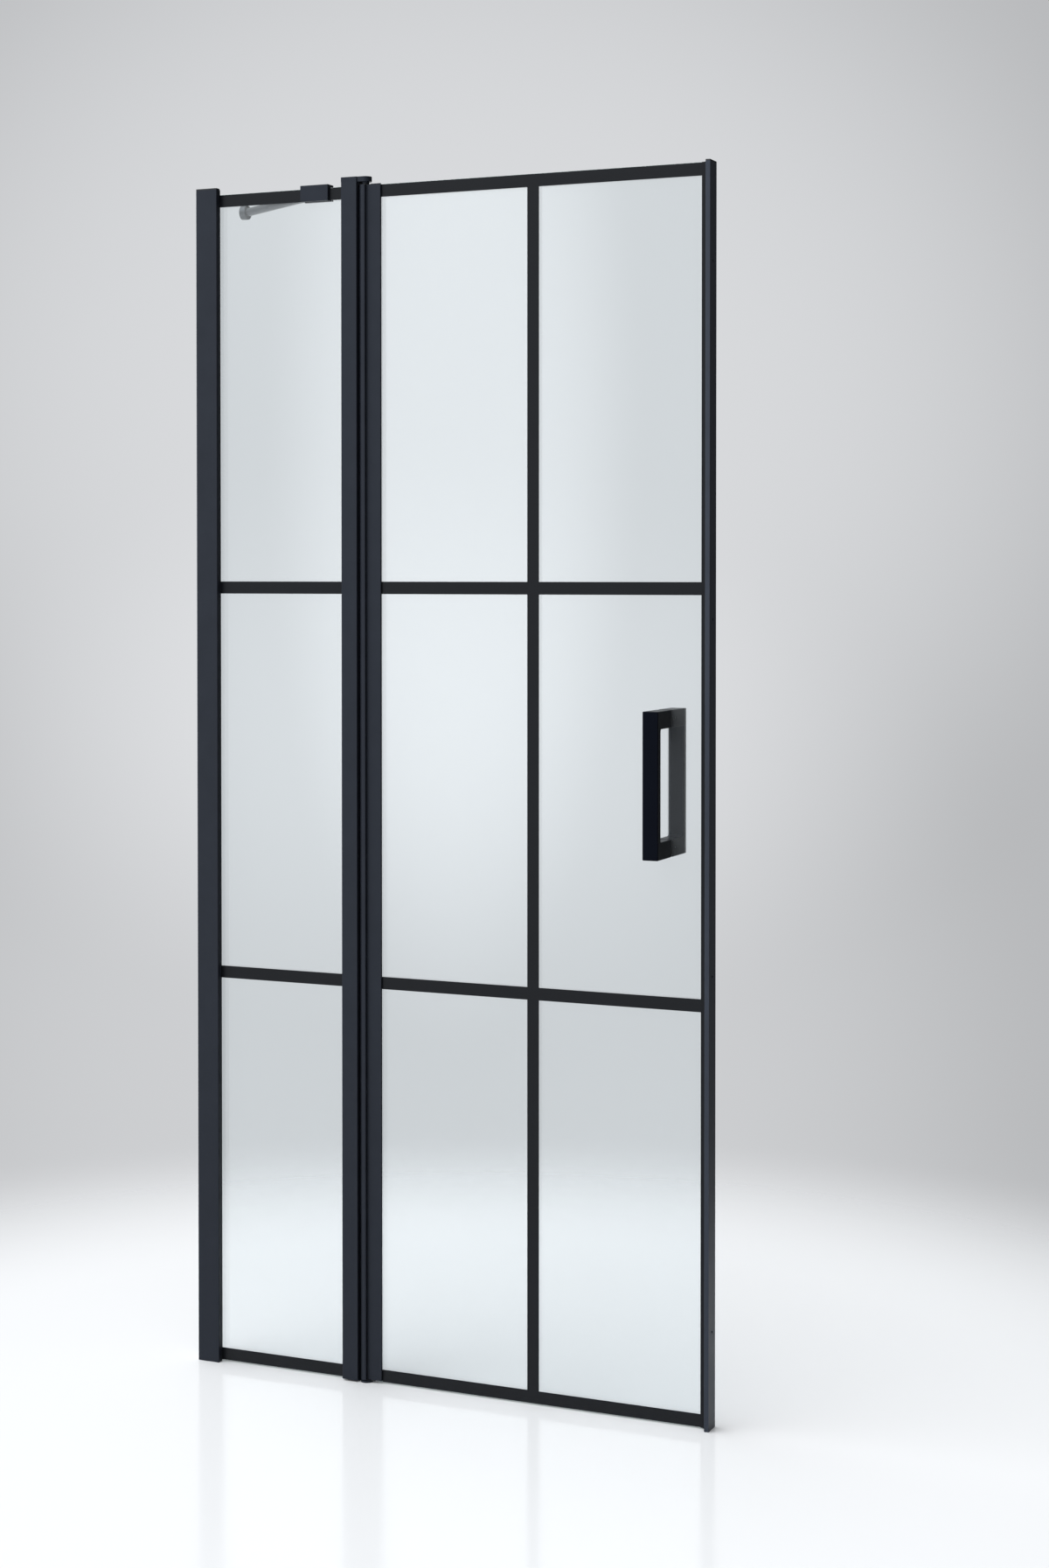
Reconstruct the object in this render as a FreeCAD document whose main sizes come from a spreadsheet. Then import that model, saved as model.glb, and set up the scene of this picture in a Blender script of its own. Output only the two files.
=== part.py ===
import FreeCAD, Part
import os
import Sketcher

# Niche shower screen: a fixed glass panel at the left wall, a hinge post, and a glass door that swings
# out on two pivots and shuts against a strike profile at the right wall.
# +X runs from the left wall to the right, +Y into the shower, +Z up. The origin is on the left wall, in
# the middle plane of the glass, at floor level. Lengths are millimetres, angles degrees.

SIZES = [
    # The screen as a whole
    ("screen_width", "900", "left wall to right wall"),
    ("overall_height", "1948", "floor to the top of the upper pivot arm"),
    ("profile_drop", "3", "top of the wall profile's cap below the upper arm's top"),
    ("frame_depth", "30", "front to back of the aluminium profiles"),
    ("extrusion_wall", "1.6", "wall of the aluminium extrusions"),
    ("edge_round", "0.8", "rounded corners of profiles, arms and clip"),
    ("cap_thick", "2", "plastic end caps"),
    ("tang_depth", "10", "tangs of the caps inside the chambers"),
    ("plug_clear", "0.2", "slack of tangs, plugs and strips in their chambers"),
    ("press_clear", "0.02", "slack of pressed and screwed round parts"),
    # Panes and their print
    ("glass_drop", "13", "upper edge of both panes below the upper arm's top"),
    ("glass_lift", "2", "lower edge of both panes above the floor"),
    ("glass_thick", "6", "thickness of both panes"),
    ("glass_arris", "0.6", "ground edges of the panes"),
    ("glass_edge_gap", "1", "pane edge to the bottom of its slot"),
    ("gasket_thick", "2", "rubber strip between pane and slot wall"),
    ("gasket_recess", "0.4", "strip set back from the slot's mouth"),
    ("slot_lip", "2.3", "slim lips beside a glass slot"),
    ("print_width", "20", "printed bar"),
    ("print_thick", "0.3", "printed layer"),
    # Wall channel and panel profile
    ("channel_reach", "24", "wall to the edge of the channel's legs"),
    ("channel_wall", "2", "wall of the channel"),
    ("channel_drop", "5", "channel ends below the profile's top"),
    ("slide_clear", "0.2", "channel to the profile around it"),
    ("wall_hole", "5.5", "diameter of the wall screw holes"),
    ("wall_hole_inset", "150", "outer wall screw holes from the ends"),
    ("panel_wall_gap", "1.5", "profile edge to the wall"),
    ("panel_width", "40", "wall to the glass side of the profile"),
    ("panel_slot", "11", "depth of the profile's glass slot"),
    ("panel_rear_lip", "5", "rear lip past the slot's bottom"),
    ("lock_screw", "4", "diameter of the locking screws"),
    ("lock_setback", "14", "locking screws from the wall"),
    ("lock_inset", "160", "outer locking screws from the ends"),
    ("lock_grip", "3", "screw length past the channel"),
    ("lock_head", "8", "diameter of a locking screw's head"),
    ("lock_head_thick", "2.4", "height of that head"),
    # Fixed panel and hinge post
    ("fixed_sight", "231", "fixed glass seen between profile and post"),
    ("post_width", "28", "hinge post along the screen"),
    ("post_slot", "12", "depth of the post's glass slot"),
    ("port_setback", "3", "screw port from the slot's bottom"),
    ("port_offset", "10", "screw port behind the glass plane"),
    ("arm_screw", "4", "diameter of the pivot arm screws"),
    ("arm_screw_length", "22", "length of those screws under the head"),
    ("arm_screw_head", "7", "diameter of their heads"),
    ("arm_screw_head_thick", "1.8", "height of their heads"),
    ("fin_groove", "2", "mouth of the seal's groove"),
    ("fin_groove_head", "4.4", "undercut of that groove"),
    ("fin_groove_depth", "4.5", "depth of that groove"),
    ("fin_tip", "0.8", "thickness of the fin's tip"),
    ("fin_reach", "19", "fin past the post"),
    ("fin_gap", "1", "fin's groove behind the barrel"),
    # Pivot hinge
    ("hinge_setback", "3", "pivot axis in front of the glass plane"),
    ("barrel_radius", "10", "outer radius of the hinge barrel"),
    ("barrel_gap", "0.8", "post to barrel"),
    ("barrel_bore", "8", "bore of the barrel"),
    ("barrel_step", "2.8", "barrel's step down to the stile's face, from the axis towards the door"),
    ("arm_plate", "8", "thickness of the upper pivot arm"),
    ("foot_plate", "3", "thickness of the lower pivot arm"),
    ("foot_setback", "10", "lower arm's plate behind the post's front"),
    ("plug_depth", "20", "arm plugs inside the post"),
    ("pin_width", "5", "diameter of the pivot pins"),
    ("pin_reach", "18", "pins inside the barrel"),
    ("pin_recess", "0.5", "pin ends below the arms' outer faces"),
    ("running_clear", "0.05", "pin to bush, on the radius"),
    ("bush_length", "22", "bush inside the barrel"),
    ("flange_radius", "6", "bush flange"),
    ("flange_thick", "1.6", "bush flange and lower stile cap"),
    ("axial_gap", "0.1", "lower bush to lower arm"),
    ("top_gap", "0.3", "upper bush to upper arm"),
    # Door stile
    ("stile_web", "6.7", "barrel to the bottom of the stile's glass slot"),
    ("stile_slot", "11.8", "depth of that slot at its front lip"),
    ("stile_rear_step", "5.5", "rear lip shorter than the front lip"),
    ("stile_round", "4", "rounded corner behind the barrel"),
    ("stile_cap", "1", "thickness of the stile's upper cap"),
    # Closing edge
    ("strike_width", "7.5", "strike profile along the screen"),
    ("strike_groove", "11", "width of its magnet groove"),
    ("strike_groove_depth", "3", "depth of its magnet groove"),
    ("strike_screw_room", "0.6", "magnet strip to the groove's floor"),
    ("strike_hole", "4.5", "diameter of its screw holes"),
    ("strike_hole_inset", "150", "outer screw holes from the ends"),
    ("stop_reach", "6", "door stop lip past the strike's face"),
    ("stop_gap", "0.5", "door seal to the stop lip"),
    ("closing_gap", "0.5", "door seal to the strike"),
    ("seal_grip", "4", "seal legs over the glass edge"),
    ("seal_wall", "1", "wall of the edge seal"),
    ("bulb_thick", "4", "magnet chamber along the screen"),
    ("bulb_width", "12", "magnet chamber front to back"),
    # Handle
    ("handle_inset", "65", "handle's middle from the closing glass edge"),
    ("handle_rise", "19.5", "handle's middle above the pane's middle"),
    ("handle_length", "226", "handle from end to end"),
    ("handle_width", "25", "handle along the screen"),
    ("handle_reach", "60", "glass face to the grip's outer face"),
    ("handle_leg", "27", "height of a leg"),
    ("handle_grip", "13", "thickness of the grip"),
    ("handle_window_round", "4", "corners of the finger gap"),
    ("handle_pad", "1", "thickness of the pads under the legs"),
    ("handle_pad_inset", "2", "those pads from the edges of the legs"),
    ("stud_width", "6", "diameter of the through studs"),
    ("stud_depth", "20", "stud inside each leg"),
    ("stud_clear", "1", "stud to the glass hole, on the radius"),
    ("handle_grub", "4", "diameter of the handle's grub screws"),
    ("handle_grub_depth", "12", "grub screws behind the leg's end"),
    ("grub_recess", "0.6", "grub screws below the surface"),
    # Stabiliser bar and its clip
    ("clip_to_post", "27.5", "clip to the hinge post"),
    ("clip_width", "50", "clip along the screen"),
    ("clip_height", "26", "clip from its lower edge to its top"),
    ("clip_rise", "5", "clip above the glass"),
    ("clip_front_wall", "4.7", "front jaw"),
    ("clip_rear_wall", "5", "rear jaw"),
    ("clip_bridge_gap", "0.5", "bridge above the glass edge"),
    ("clip_pad", "1", "soft pads"),
    ("clip_pad_inset", "2.5", "pads from the jaws' edges"),
    ("clip_plate", "2", "pressure plate"),
    ("clip_plate_gap", "0.5", "pressure plate to the rear jaw"),
    ("clip_screw", "4", "diameter of the clamp screws"),
    ("clip_screw_spread", "30", "distance between the clamp screws"),
    ("clip_screw_rise", "4", "clamp screws above the lower edge"),
    ("brace_angle", "32.5", "bar away from the wall's normal"),
    ("brace_shift", "10", "bar's line meets the glass right of the clip's middle"),
    ("brace_drop", "8.5", "bar's axis below the glass edge"),
    ("brace_width", "14", "diameter of the bar"),
    ("brace_clear", "0.1", "bar to its sockets"),
    ("socket_wall", "3.5", "wall of the clip's socket"),
    ("socket_start", "25", "bar's end from the glass plane, along the bar"),
    ("socket_length", "16", "bar inside the clip's socket"),
    ("flange_width", "24", "diameter of the wall flange"),
    ("flange_height", "12", "wall flange off the wall"),
    ("flange_edge", "1.5", "bevelled rim of the wall flange"),
    ("brace_wall_gap", "8", "middle of the bar's end to the wall"),
    ("plate_width", "18", "diameter of the wall plate"),
    ("plate_thick", "4", "thickness of the wall plate"),
    ("plate_hole", "5.2", "screw hole of the wall plate"),
    ("brace_grub", "4", "diameter of the bar's grub screws"),
    ("brace_grub_offset", "8", "clip's grub screw from the bar's end, along the bar"),
]

doc = FreeCAD.newDocument("shower_screen")
sheet = doc.addObject("Spreadsheet::Sheet", "Sizes")
for row, (alias, value, meaning) in enumerate(SIZES, start=1):
    sheet.set(f"A{row}", meaning)
    sheet.set(f"B{row}", value)
    sheet.setAlias(f"B{row}", alias)
doc.recompute()


class Size:
    """A length as a formula on the sheet: arithmetic on sizes writes a longer formula."""

    def __init__(self, formula):
        self.formula = formula

    def number(self):
        return float(sheet.evalExpression(self.formula))

    def joined(self, sign, other):
        return Size(f"({self.formula} {sign} {as_size(other).formula})")

    def __add__(self, other):
        return self.joined("+", other)

    def __sub__(self, other):
        return self.joined("-", other)

    def __mul__(self, other):
        return self.joined("*", other)

    def __truediv__(self, other):
        return self.joined("/", other)

    def __rmul__(self, other):
        return as_size(other).joined("*", self)

    def __neg__(self):
        return Size(f"(0 - {self.formula})")


def as_size(value):
    return value if isinstance(value, Size) else Size(str(value))


class Sheet:
    """Gives each named cell as a Size."""

    def __getattr__(self, alias):
        return Size(f"Sizes.{alias}")


cell = Sheet()
nodes = {}
SAME_PLACE = 1e-6
UPWARDS = FreeCAD.Vector(0, 0, 1)
WALL_SCREW_COUNT = 4
LOCK_SCREW_COUNT = 3
PRINTED_BAR_COUNT = 4


# Sketches: every corner is tied to sizes on the sheet

def new_body(label, x=None, y=None, z=None):
    """An empty body that stands for one sub-part, set off from the origin."""
    body = doc.addObject("PartDesign::Body", label)
    for axis, offset in (("x", x), ("y", y), ("z", z)):
        if offset is not None:
            body.setExpression(f"Placement.Base.{axis}", offset.formula)
    nodes[label] = body
    return body


def sketch_on(body, role, offset=None):
    """A sketch on one of the body's own origin planes, or parallel to it."""
    sketch = body.newObject("Sketcher::SketchObject", body.Label + "_sketch")
    plane = next(feature for feature in body.Origin.OriginFeatures if feature.Role == role)
    sketch.AttachmentSupport = (plane, [""])
    sketch.MapMode = "FlatFace"
    if offset is not None:
        sketch.setExpression("AttachmentOffset.Base.z", offset.formula)
    return sketch


def vector(place):
    return FreeCAD.Vector(place[0].number(), place[1].number(), 0)


def tie(sketch, constraint, size):
    index = sketch.addConstraint(constraint)
    sketch.setExpression(f"Constraints[{index}]", size.formula)


def tie_point(sketch, geometry, end, place):
    for kind, size in zip(("DistanceX", "DistanceY"), place):
        tie(sketch, Sketcher.Constraint(kind, geometry, end, size.number()), size)


def towards(corner, other, distance):
    """The point at a distance from a corner, along its straight edge to another corner."""
    moved = []
    for here, there in zip(corner, other):
        step = there.number() - here.number()
        if abs(step) < SAME_PLACE:
            moved.append(here)
        else:
            moved.append(here + distance if step > 0 else here - distance)
    return tuple(moved)


def outline(sketch, corners, rounds=None):
    """A closed loop of lines through the corners. rounds gives a corner's radius by its number."""
    rounds = rounds or {}
    places = [(as_size(x), as_size(y)) for x, y in corners]
    arrivals = list(places)
    departures = list(places)
    for number, radius in rounds.items():
        following = places[(number + 1) % len(places)]
        arrivals[number] = towards(places[number], places[number - 1], radius)
        departures[number] = towards(places[number], following, radius)
    lines = []
    for number, start in enumerate(departures):
        end = arrivals[(number + 1) % len(places)]
        lines.append(sketch.addGeometry(Part.LineSegment(vector(start), vector(end)), False))
        tie_point(sketch, lines[-1], 1, start)
    for number in range(len(places)):
        before = lines[number - 1]
        after = lines[number]
        if number in rounds:
            tie_point(sketch, before, 2, arrivals[number])
            corner_arc(sketch, before, after, places[number], rounds[number])
        else:
            sketch.addConstraint(Sketcher.Constraint("Coincident", before, 2, after, 1))


def corner_arc(sketch, before, after, corner, radius):
    """The arc that joins two lines at a square corner."""
    start = sketch.getPoint(before, 2)
    end = sketch.getPoint(after, 1)
    middle = start + end - vector(corner)
    leftwards = (vector(corner) - start).cross(end - vector(corner)).z > 0
    first, last = (start, end) if leftwards else (end, start)
    whole = Part.Circle(middle, UPWARDS, radius.number())
    arc = Part.ArcOfCircle(whole, whole.parameter(first), whole.parameter(last))
    geometry = sketch.addGeometry(arc, False)
    start_end, end_end = (1, 2) if leftwards else (2, 1)
    sketch.addConstraint(Sketcher.Constraint("Coincident", before, 2, geometry, start_end))
    sketch.addConstraint(Sketcher.Constraint("Coincident", after, 1, geometry, end_end))
    tie(sketch, Sketcher.Constraint("Radius", geometry, radius.number()), radius)


def circle(sketch, place, diameter):
    centre = tuple(as_size(value) for value in place)
    radius = diameter / 2
    geometry = sketch.addGeometry(Part.Circle(vector(centre), UPWARDS, radius.number()), False)
    tie_point(sketch, geometry, 3, centre)
    tie(sketch, Sketcher.Constraint("Radius", geometry, radius.number()), radius)


def rectangle(left, low, right, high):
    return [(left, low), (right, low), (right, high), (left, high)]


# Features

def pad(body, sketch, length, backwards=False, both_ways=False):
    feature = body.newObject("PartDesign::Pad", body.Label + "_pad")
    feature.Profile = sketch
    feature.setExpression("Length", length.formula)
    feature.Reversed = backwards
    feature.Midplane = both_ways
    doc.recompute()
    return feature


def pocket(body, sketch, length=None, backwards=False, both_ways=False):
    """Cuts the sketch out of the body: right through, or to a depth."""
    doc.recompute()
    volume = body.Shape.Volume
    feature = body.newObject("PartDesign::Pocket", body.Label + "_pocket")
    feature.Profile = sketch
    if length is None:
        feature.Type = "ThroughAll"
    else:
        feature.setExpression("Length", length.formula)
    feature.Reversed = backwards
    feature.Midplane = both_ways
    doc.recompute()
    if body.Shape.Volume >= volume - SAME_PLACE:
        raise RuntimeError(f"a pocket of {body.Label} cuts nothing")
    return feature


def dress_edges(body, size, chosen):
    """Bevels the edges of the body that the test picks."""
    doc.recompute()
    base = body.Tip
    names = [f"Edge{number}" for number, edge in enumerate(base.Shape.Edges, start=1) if chosen(edge)]
    feature = body.newObject("PartDesign::Chamfer", body.Label + "_edges")
    feature.Base = (base, names)
    feature.setExpression("Size", size.formula)
    doc.recompute()


def extrusion(label, bottom, top, loops):
    """A straight piece along Z: each loop is a list of corners and a dict of corner radii."""
    body = new_body(label, z=bottom)
    sketch = sketch_on(body, "XY_Plane")
    for corners, rounds in loops:
        outline(sketch, corners, rounds)
    pad(body, sketch, top - bottom)
    return body


def disc(body, place, diameter, length, backwards=False):
    """A round pad on the body's XY plane."""
    sketch = sketch_on(body, "XY_Plane")
    circle(sketch, place, diameter)
    pad(body, sketch, length, backwards)


def bore(body, place, diameter, length=None, backwards=False, both_ways=False):
    """A round hole along the body's Z axis, from its XY plane."""
    sketch = sketch_on(body, "XY_Plane")
    circle(sketch, place, diameter)
    pocket(body, sketch, length, backwards, both_ways)


def box_pad(body, corners, length, backwards=False):
    sketch = sketch_on(body, "XY_Plane")
    outline(sketch, corners)
    pad(body, sketch, length, backwards)


def cut_along(body, role, diameter, places, both_ways=True, backwards=False, length=None):
    """Round holes square to an origin plane of the body."""
    sketch = sketch_on(body, role)
    for place in places:
        circle(sketch, place, diameter)
    pocket(body, sketch, length, backwards, both_ways)


def heights(bottom, top, inset, count):
    """Evenly spaced heights between two ends, the outer ones set in from them."""
    step = (top - bottom - 2 * inset) / (count - 1)
    return [bottom + inset + number * step for number in range(count)]


# Places that several pieces share

FLOOR = as_size(0)
NO_SLACK = as_size(0)
HALF_DEPTH = cell.frame_depth / 2
HALF_GLASS = cell.glass_thick / 2
HALF_SLOT = HALF_GLASS + cell.gasket_thick
INNER_HALF_DEPTH = HALF_DEPTH - cell.extrusion_wall
SLOT_CHAMBER = HALF_SLOT + cell.extrusion_wall
LIP_FACE = HALF_SLOT + cell.slot_lip

PROFILE_TOP = cell.overall_height - cell.profile_drop - cell.cap_thick
POST_TOP = cell.overall_height - cell.arm_plate
GLASS_TOP = cell.overall_height - cell.glass_drop
GLASS_BOTTOM = cell.glass_lift
STILE_BOTTOM = cell.foot_plate + cell.axial_gap + cell.flange_thick

PANEL_RIGHT = cell.panel_width
PANEL_SLOT_BOTTOM = PANEL_RIGHT - cell.panel_slot
PANEL_REAR_LIP = PANEL_SLOT_BOTTOM + cell.panel_rear_lip
POST_LEFT = PANEL_RIGHT + cell.fixed_sight
POST_RIGHT = POST_LEFT + cell.post_width
POST_SLOT_BOTTOM = POST_LEFT + cell.post_slot
PORT_X = POST_SLOT_BOTTOM - cell.port_setback
PORT = (PORT_X, cell.port_offset)
CHAMBER_LEFT = POST_SLOT_BOTTOM + cell.extrusion_wall
CHAMBER_RIGHT = POST_RIGHT - cell.extrusion_wall
GROOVE_FLOOR = POST_RIGHT - cell.fin_groove_depth
GROOVE_LIP = POST_RIGHT - cell.extrusion_wall

HINGE_X = POST_RIGHT + cell.barrel_gap + cell.barrel_radius
HINGE_Y = -cell.hinge_setback
HINGE = (HINGE_X, HINGE_Y)
BARREL_RIGHT = HINGE_X + cell.barrel_radius
BARREL_FRONT = HINGE_Y - cell.barrel_radius
BARREL_REAR = HINGE_Y + cell.barrel_radius
FIN_Y = BARREL_REAR + cell.fin_gap + cell.fin_groove / 2
CHAMBER_STEP = FIN_Y - cell.fin_groove_head / 2 - cell.extrusion_wall
STILE_SLOT_BOTTOM = BARREL_RIGHT + cell.stile_web
STILE_RIGHT = STILE_SLOT_BOTTOM + cell.stile_slot
STILE_REAR_RIGHT = STILE_RIGHT - cell.stile_rear_step

SEAL_RIGHT = cell.screen_width - cell.strike_width - cell.closing_gap
BULB_LEFT = SEAL_RIGHT - cell.bulb_thick
DOOR_GLASS_LEFT = STILE_SLOT_BOTTOM + cell.glass_edge_gap
DOOR_GLASS_RIGHT = BULB_LEFT - cell.seal_wall
SEAL_LEFT = DOOR_GLASS_RIGHT - cell.seal_grip


# Left wall: channel on the wall, profile over it

def wall_channel():
    """U channel, screwed to the wall through its base."""
    half = INNER_HALF_DEPTH - cell.slide_clear
    inner = half - cell.channel_wall
    reach = cell.channel_reach
    base = cell.channel_wall
    corners = [(0, -half), (reach, -half), (reach, -inner), (base, -inner)]
    corners += [(base, inner), (reach, inner), (reach, half), (0, half)]
    top = PROFILE_TOP - cell.channel_drop
    body = extrusion("wall_channel", FLOOR, top, [(corners, None)])
    rows = heights(FLOOR, PROFILE_TOP, cell.wall_hole_inset, WALL_SCREW_COUNT)
    holes = [(0, height) for height in rows]
    cut_along(body, "YZ_Plane", cell.wall_hole, holes)
    cut_along(body, "XZ_Plane", cell.lock_screw + 2 * cell.press_clear, lock_places(), both_ways=False)


def lock_places():
    """Where the locking screws pass, seen from the front."""
    rows = heights(FLOOR, PROFILE_TOP, cell.lock_inset, LOCK_SCREW_COUNT)
    return [(cell.lock_setback, height) for height in rows]


def panel_profile():
    """Extrusion that slides over the channel at its back and holds the fixed pane in a slot."""
    left = cell.panel_wall_gap
    web = PANEL_SLOT_BOTTOM - 2 * cell.extrusion_wall
    corners = [(left, -HALF_DEPTH), (PANEL_RIGHT, -HALF_DEPTH), (PANEL_RIGHT, -HALF_SLOT)]
    corners += [(PANEL_SLOT_BOTTOM, -HALF_SLOT), (PANEL_SLOT_BOTTOM, HALF_SLOT)]
    corners += [(PANEL_REAR_LIP, HALF_SLOT), (PANEL_REAR_LIP, LIP_FACE), (PANEL_SLOT_BOTTOM, LIP_FACE)]
    corners += [(PANEL_SLOT_BOTTOM, HALF_DEPTH), (left, HALF_DEPTH), (left, INNER_HALF_DEPTH)]
    corners += [(web, INNER_HALF_DEPTH), (web, -INNER_HALF_DEPTH), (left, -INNER_HALF_DEPTH)]
    loops = [(corners, {1: cell.edge_round, 8: cell.edge_round}), (panel_chamber(NO_SLACK), None)]
    body = extrusion("panel_profile", FLOOR, PROFILE_TOP, loops)
    cut_along(body, "XZ_Plane", cell.lock_screw + 2 * cell.press_clear, lock_places(), both_ways=False)


def panel_chamber(slack):
    """The closed chamber in front of the profile's slot, or the tang that fits it with some slack."""
    left = PANEL_SLOT_BOTTOM + slack
    right = PANEL_RIGHT - cell.extrusion_wall - slack
    return rectangle(left, slack - INNER_HALF_DEPTH, right, -SLOT_CHAMBER - slack)


def panel_profile_cap():
    """Plastic cap, held by a tang in the profile's chamber."""
    left = cell.panel_wall_gap
    plate = [(left, -HALF_DEPTH), (PANEL_RIGHT, -HALF_DEPTH), (PANEL_RIGHT, -HALF_SLOT)]
    plate += [(PANEL_REAR_LIP, -HALF_SLOT), (PANEL_REAR_LIP, LIP_FACE), (PANEL_SLOT_BOTTOM, LIP_FACE)]
    plate += [(PANEL_SLOT_BOTTOM, HALF_DEPTH), (left, HALF_DEPTH)]
    rounds = {1: cell.edge_round, 6: cell.edge_round}
    end_cap("panel_profile_cap", PROFILE_TOP, plate, rounds, panel_chamber(cell.plug_clear))


def end_cap(label, seat, plate, rounds, *tangs, thick=cell.cap_thick, upside_down=False):
    """A flat cap on the end of an extrusion, with tangs that reach into it."""
    body = new_body(label, z=seat)
    sketch = sketch_on(body, "XY_Plane")
    outline(sketch, plate, rounds)
    pad(body, sketch, thick, backwards=upside_down)
    for tang in tangs:
        box_pad(body, tang, cell.tang_depth, backwards=not upside_down)


def panel_lock_screws():
    """Pan-head screws through profile and channel, from inside the shower."""
    body = new_body("panel_lock_screws", y=HALF_DEPTH)
    shank = cell.extrusion_wall + cell.slide_clear + cell.channel_wall + cell.lock_grip
    for diameter, length, outwards in (
        (cell.lock_screw, shank, False),
        (cell.lock_head, cell.lock_head_thick, True),
    ):
        sketch = sketch_on(body, "XZ_Plane")
        for place in lock_places():
            circle(sketch, place, diameter)
        pad(body, sketch, length, backwards=outwards)


# Fixed panel

def pane(label, left, right, holes, hole_width):
    """A sheet of glass with ground edges and drilled holes."""
    corners = rectangle(left, -HALF_GLASS, right, HALF_GLASS)
    body = extrusion(label, GLASS_BOTTOM, GLASS_TOP, [(corners, None)])
    dress_edges(body, cell.glass_arris, lambda edge: edge.BoundBox.YLength < SAME_PLACE)
    if holes:
        drilled = [(x, height - GLASS_BOTTOM) for x, height in holes]
        cut_along(body, "XZ_Plane", hole_width, drilled)
    return body


def gasket_pair(label, bottom, front_span, rear_span):
    """Rubber strips on both faces of a pane, inside its slot. Each span is a left and a right edge."""
    front = rectangle(front_span[0], -HALF_SLOT, front_span[1], -HALF_GLASS)
    rear = rectangle(rear_span[0], HALF_GLASS, rear_span[1], HALF_SLOT)
    extrusion(label, bottom, GLASS_TOP, [(front, None), (rear, None)])


def bar_heights():
    """Lower edges of the four printed bars, which part the pane into three equal fields."""
    bottom = GLASS_BOTTOM + cell.glass_arris
    top = GLASS_TOP - cell.glass_arris - cell.print_width
    return heights(bottom, top, NO_SLACK, PRINTED_BAR_COUNT)


def printed_bars(label, left, right):
    """Enamel bars on the outer face of a pane."""
    body = new_body(label, y=-HALF_GLASS)
    sketch = sketch_on(body, "XZ_Plane")
    for low in bar_heights():
        outline(sketch, rectangle(left, low, right, low + cell.print_width))
    pad(body, sketch, cell.print_thick)
    return body


def fixed_panel():
    left = PANEL_SLOT_BOTTOM + cell.glass_edge_gap
    right = POST_SLOT_BOTTOM - cell.glass_edge_gap
    pane("fixed_glass", left, right, None, None)
    front = (PANEL_SLOT_BOTTOM, PANEL_RIGHT - cell.gasket_recess)
    rear = (PANEL_SLOT_BOTTOM, PANEL_REAR_LIP - cell.gasket_recess)
    gasket_pair("wall_gaskets", GLASS_BOTTOM, front, rear)
    in_post = (POST_LEFT + cell.gasket_recess, POST_SLOT_BOTTOM)
    gasket_pair("post_gaskets", cell.foot_plate, in_post, in_post)
    printed_bars("fixed_grid", PANEL_RIGHT - cell.gasket_recess, POST_LEFT + cell.gasket_recess)


# Hinge post and its seal

def fin_groove(slack):
    """Corners of the undercut groove for the hinge seal, or of the root that fits it with some slack."""
    mouth = cell.fin_groove / 2 - slack
    head = cell.fin_groove_head / 2 - slack
    lip = GROOVE_LIP - slack
    floor = GROOVE_FLOOR + slack
    offsets = [(POST_RIGHT, -mouth), (lip, -mouth), (lip, -head), (floor, -head)]
    offsets += [(floor, head), (lip, head), (lip, mouth), (POST_RIGHT, mouth)]
    return [(x, FIN_Y + y) for x, y in offsets]


def hinge_post():
    """Extrusion with a glass slot, a screw port, a chamber for the arm plugs and the seal's groove."""
    corners = [(POST_LEFT, -HALF_DEPTH), (POST_RIGHT, -HALF_DEPTH)] + fin_groove(NO_SLACK)
    corners += [(POST_RIGHT, HALF_DEPTH), (POST_LEFT, HALF_DEPTH), (POST_LEFT, HALF_SLOT)]
    corners += [(POST_SLOT_BOTTOM, HALF_SLOT), (POST_SLOT_BOTTOM, -HALF_SLOT), (POST_LEFT, -HALF_SLOT)]
    rounds = {number: cell.edge_round for number in (0, 1, 10, 11)}
    narrow = GROOVE_FLOOR - cell.extrusion_wall
    chamber = [(CHAMBER_LEFT, -INNER_HALF_DEPTH), (CHAMBER_RIGHT, -INNER_HALF_DEPTH)]
    chamber += [(CHAMBER_RIGHT, CHAMBER_STEP), (narrow, CHAMBER_STEP)]
    chamber += [(narrow, INNER_HALF_DEPTH), (CHAMBER_LEFT, INNER_HALF_DEPTH)]
    side_left = POST_LEFT + cell.extrusion_wall
    side_right = PORT_X - cell.arm_screw / 2 - cell.extrusion_wall
    sides = [rectangle(side_left, -INNER_HALF_DEPTH, side_right, -SLOT_CHAMBER)]
    sides += [rectangle(side_left, SLOT_CHAMBER, side_right, INNER_HALF_DEPTH)]
    loops = [(corners, rounds), (chamber, None)] + [(side, None) for side in sides]
    body = extrusion("hinge_post", cell.foot_plate, POST_TOP, loops)
    bore(body, PORT, cell.arm_screw + 2 * cell.press_clear, both_ways=True)


def hinge_seal():
    """Soft fin, pushed into the post's groove, that closes the gap behind the barrel."""
    tip = POST_RIGHT + cell.fin_reach
    root = fin_groove(cell.plug_clear / 2)
    fin = [(tip, FIN_Y + cell.fin_tip / 2), (tip, FIN_Y - cell.fin_tip / 2)]
    extrusion("hinge_seal", cell.foot_plate, GLASS_TOP, [(root + fin, None)])


# Pivot arms, pins and bushes

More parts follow.
